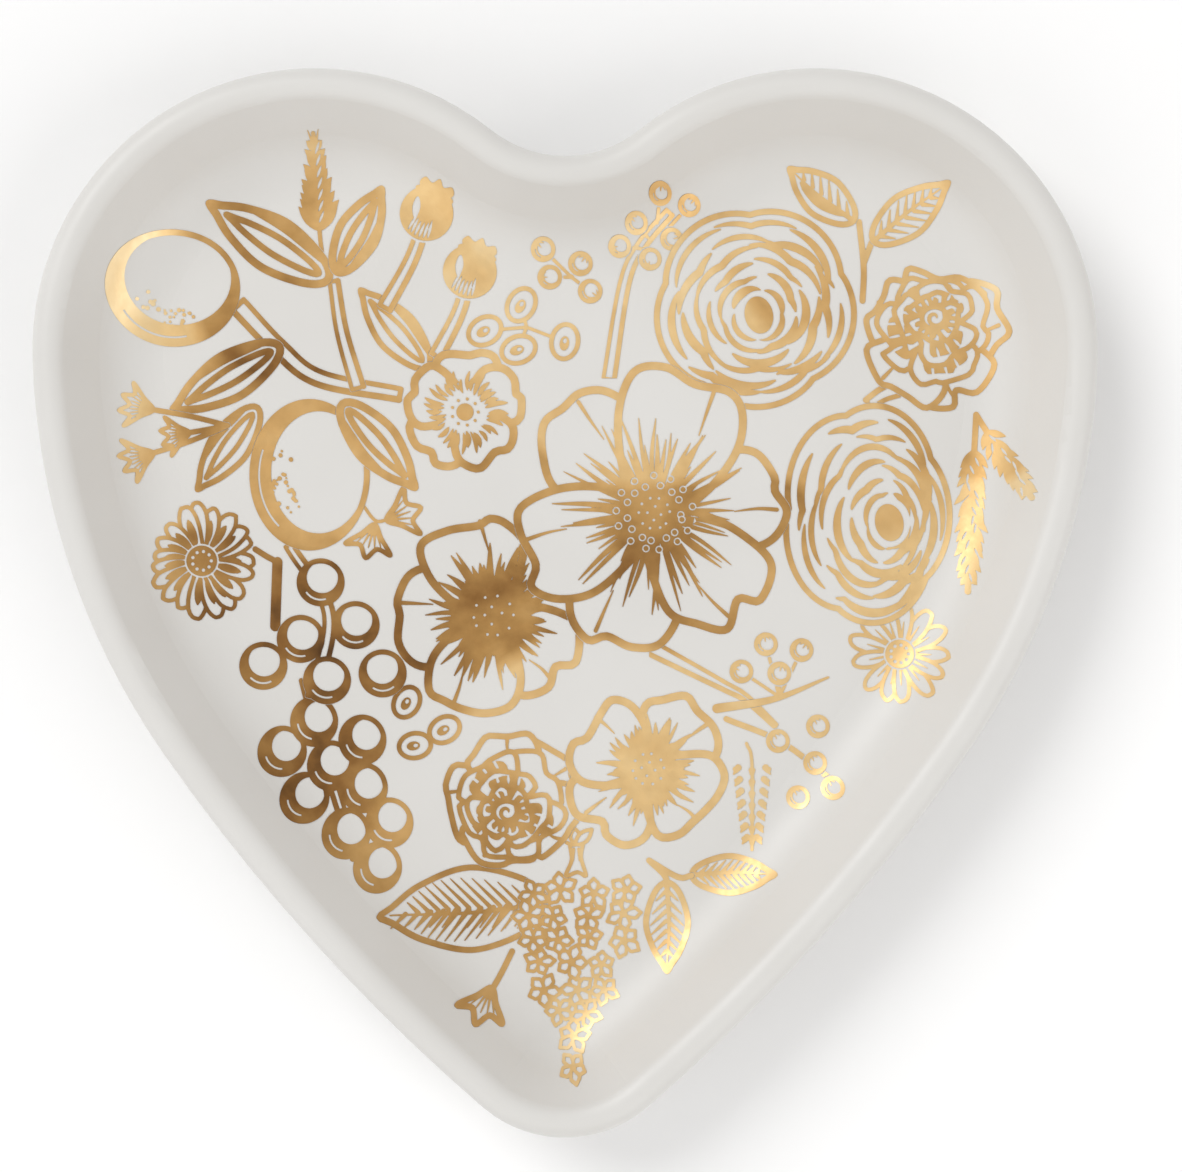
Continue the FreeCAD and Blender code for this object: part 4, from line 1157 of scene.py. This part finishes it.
# Painted reflection in the gold's colour, from left to right and from the tip up to the lobes, then
# the colours it runs through, from dark painted reflection to pale gold.
PRINT_REACH = 0.055
PAINTED_REFLECTION_ACROSS = [(0.04, 0.6), (0.1, 0.36), (0.13, 0.16), (0.17, 0.09), (0.24, 0.16), (0.34, 0.27),
               (0.45, 0.32), (0.62, 0.31), (0.78, 0.35), (0.85, 0.42), (0.95, 0.58)]
PAINTED_REFLECTION_ALONG = [(0.1, 0.17), (0.35, 0.06), (0.5, 0.02), (0.72, 0.0), (0.8, 0.2), (0.86, 0.26)]
GOLD_AND_REFLECTION_COLOURS = [
    (0.0, (0.10, 0.043, 0.010)), (0.1, (0.26, 0.12, 0.028)), (0.25, (0.47, 0.26, 0.08)),
    (0.42, (0.67, 0.41, 0.155)), (0.66, (0.84, 0.59, 0.28)), (1.0, (0.96, 0.79, 0.5))]


def gold_material():
    """Fired gold, burnished, with a painted reflection in its base colour: the room it would mirror
    is painted in, so its tone drifts across the dish.

    The painted reflection is deep brown along the left flank, tan in the middle and pale at the
    right."""
    finish = Finish("fired_gold_painted_reflection")
    split = finish.node("ShaderNodeSeparateXYZ", {"Vector": finish.place()})
    across, along = [
        finish.spread(split.outputs[axis], 0.0, 1.0, -PRINT_REACH, PRINT_REACH) for axis in "XY"]
    # Painted reflection: grey ramps over the place on the dish, darkest along the left flank, paler
    # at the right, near the tip and up at the lobes.
    flank, height = finish.grey(across, PAINTED_REFLECTION_ACROSS), finish.grey(along, PAINTED_REFLECTION_ALONG)
    drift = finish.spread(finish.noise(60.0, 2.0), -0.08, 0.12, 0.35, 0.65)
    streak = finish.spread(finish.noise(210.0, 4.0), -0.08, 0.1)
    patch = finish.spread(finish.noise(38.0, 1.0, 0.2), -0.1, 0.14, 0.49, 0.53)
    total = finish.total
    # The base colour is the painted reflection plus random drift, streaks and patches, run through
    # the gold colours.
    finish.shade({
        "Base Color": finish.ramp(
            total(total(total(flank, height), total(drift, streak)), patch), GOLD_AND_REFLECTION_COLOURS),
        "Metallic": 0.6,
        "Roughness": finish.spread(finish.noise(900.0), 0.36, 0.52),
    })
    finish.bump(finish.noise(2500.0, 3.0), 0.2, 0.00005)
    return finish.material


def floor_material():
    """A pale studio sweep."""
    finish = Finish("studio_floor")
    finish.shade({
        "Base Color": finish.ramp(finish.noise(3.0), [
            (0.3, (0.93, 0.93, 0.93)), (0.7, (0.95, 0.95, 0.95))]),
        "Roughness": finish.spread(finish.noise(20.0), 0.85, 0.95),
        "Specular IOR Level": 0.1,
    })
    return finish.material


GLAZED = glaze_material()
BISQUE = bisque_material()
GOLD = gold_material()
FINISHES = {"glaze_coat": GLAZED, "foot_recess_glaze": GLAZED, "porcelain_body": BISQUE}
for node, material in FINISHES.items():
    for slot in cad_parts[node].material_slots:
        slot.material = material

part_overlaps()
for ink in Ink.drawn:
    piece = film(ink, ink.node.replace("gold_", "print_"))
    piece.data.materials.append(GOLD)
    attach(piece, "root")
    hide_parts(ink.node)

# ---- floor, light, camera

FLOOR_HALF = 900.0
FLOOR_LEVEL = -0.02
corners = [
    (x * FLOOR_HALF, y * FLOOR_HALF, FLOOR_LEVEL) for x, y in ((-1, -1), (1, -1), (1, 1), (-1, 1))]
floor = new_mesh("floor", corners, [(0, 1, 2, 3)], rounded=False)
floor.data.materials.append(floor_material())


# Even lights from far away: where each one stands, its strength, and how wide it looks.
SUNS = {
    "key": ((-0.52, 0.52, 0.72), 1.3, 34.0),
    "fill_low": ((-0.61, -0.61, 0.5), 0.52, 60.0),
    "fill_right": ((0.72, -0.48, 0.5), 1.0, 60.0),
}
for name, (direction, strength, angle) in SUNS.items():
    sun = bpy.data.lights.new(name, "SUN")
    sun.energy = strength
    sun.angle = math.radians(angle)
    lamp = bpy.data.objects.new(name, sun)
    lamp.rotation_euler = mathutils.Vector(direction).to_track_quat("Z", "Y").to_euler()
    bpy.context.scene.collection.objects.link(lamp)

ROOM_STRENGTH = 0.56
TOWARD_KEY = (-0.62, 0.42, 0.66)
ROOM_DIM = (0.93, 0.9, 0.87, 1.0)
ROOM_BRIGHT = (1.06, 1.06, 1.06, 1.0)


def studio_world():
    """A white room, brighter on the key side and dim low down on the other side."""
    world = bpy.data.worlds.new("studio")
    world.use_nodes = True
    nodes, links = world.node_tree.nodes, world.node_tree.links
    place = nodes.new("ShaderNodeTexCoord")
    facing = nodes.new("ShaderNodeVectorMath")
    facing.operation = "DOT_PRODUCT"
    facing.inputs[1].default_value = TOWARD_KEY
    links.new(place.outputs["Generated"], facing.inputs[0])
    share = nodes.new("ShaderNodeMapRange")
    share.inputs["From Min"].default_value = -0.6
    share.inputs["From Max"].default_value = 1.0
    links.new(facing.outputs["Value"], share.inputs["Value"])
    shades = nodes.new("ShaderNodeValToRGB")
    for element, colour in zip(shades.color_ramp.elements, (ROOM_DIM, ROOM_BRIGHT)):
        element.color = colour
    links.new(share.outputs["Result"], shades.inputs["Fac"])
    background = nodes["Background"]
    background.inputs["Strength"].default_value = ROOM_STRENGTH
    links.new(shades.outputs["Color"], background.inputs["Color"])
    return world


bpy.context.scene.world = studio_world()
bpy.context.scene.view_settings.view_transform = "Standard"

LENS = 120.0
SENSOR = 36.0
VIEW_WIDTH = 127.0
AIM = (2.79, 1.83)
camera_data = bpy.data.cameras.new("camera")
camera_data.lens = LENS
camera_data.sensor_width = SENSOR
camera = bpy.data.objects.new("camera", camera_data)
camera.location = (AIM[0] * MM, AIM[1] * MM, (coat_high[2] + VIEW_WIDTH * LENS / SENSOR) * MM)
bpy.context.scene.collection.objects.link(camera)
bpy.context.scene.camera = camera
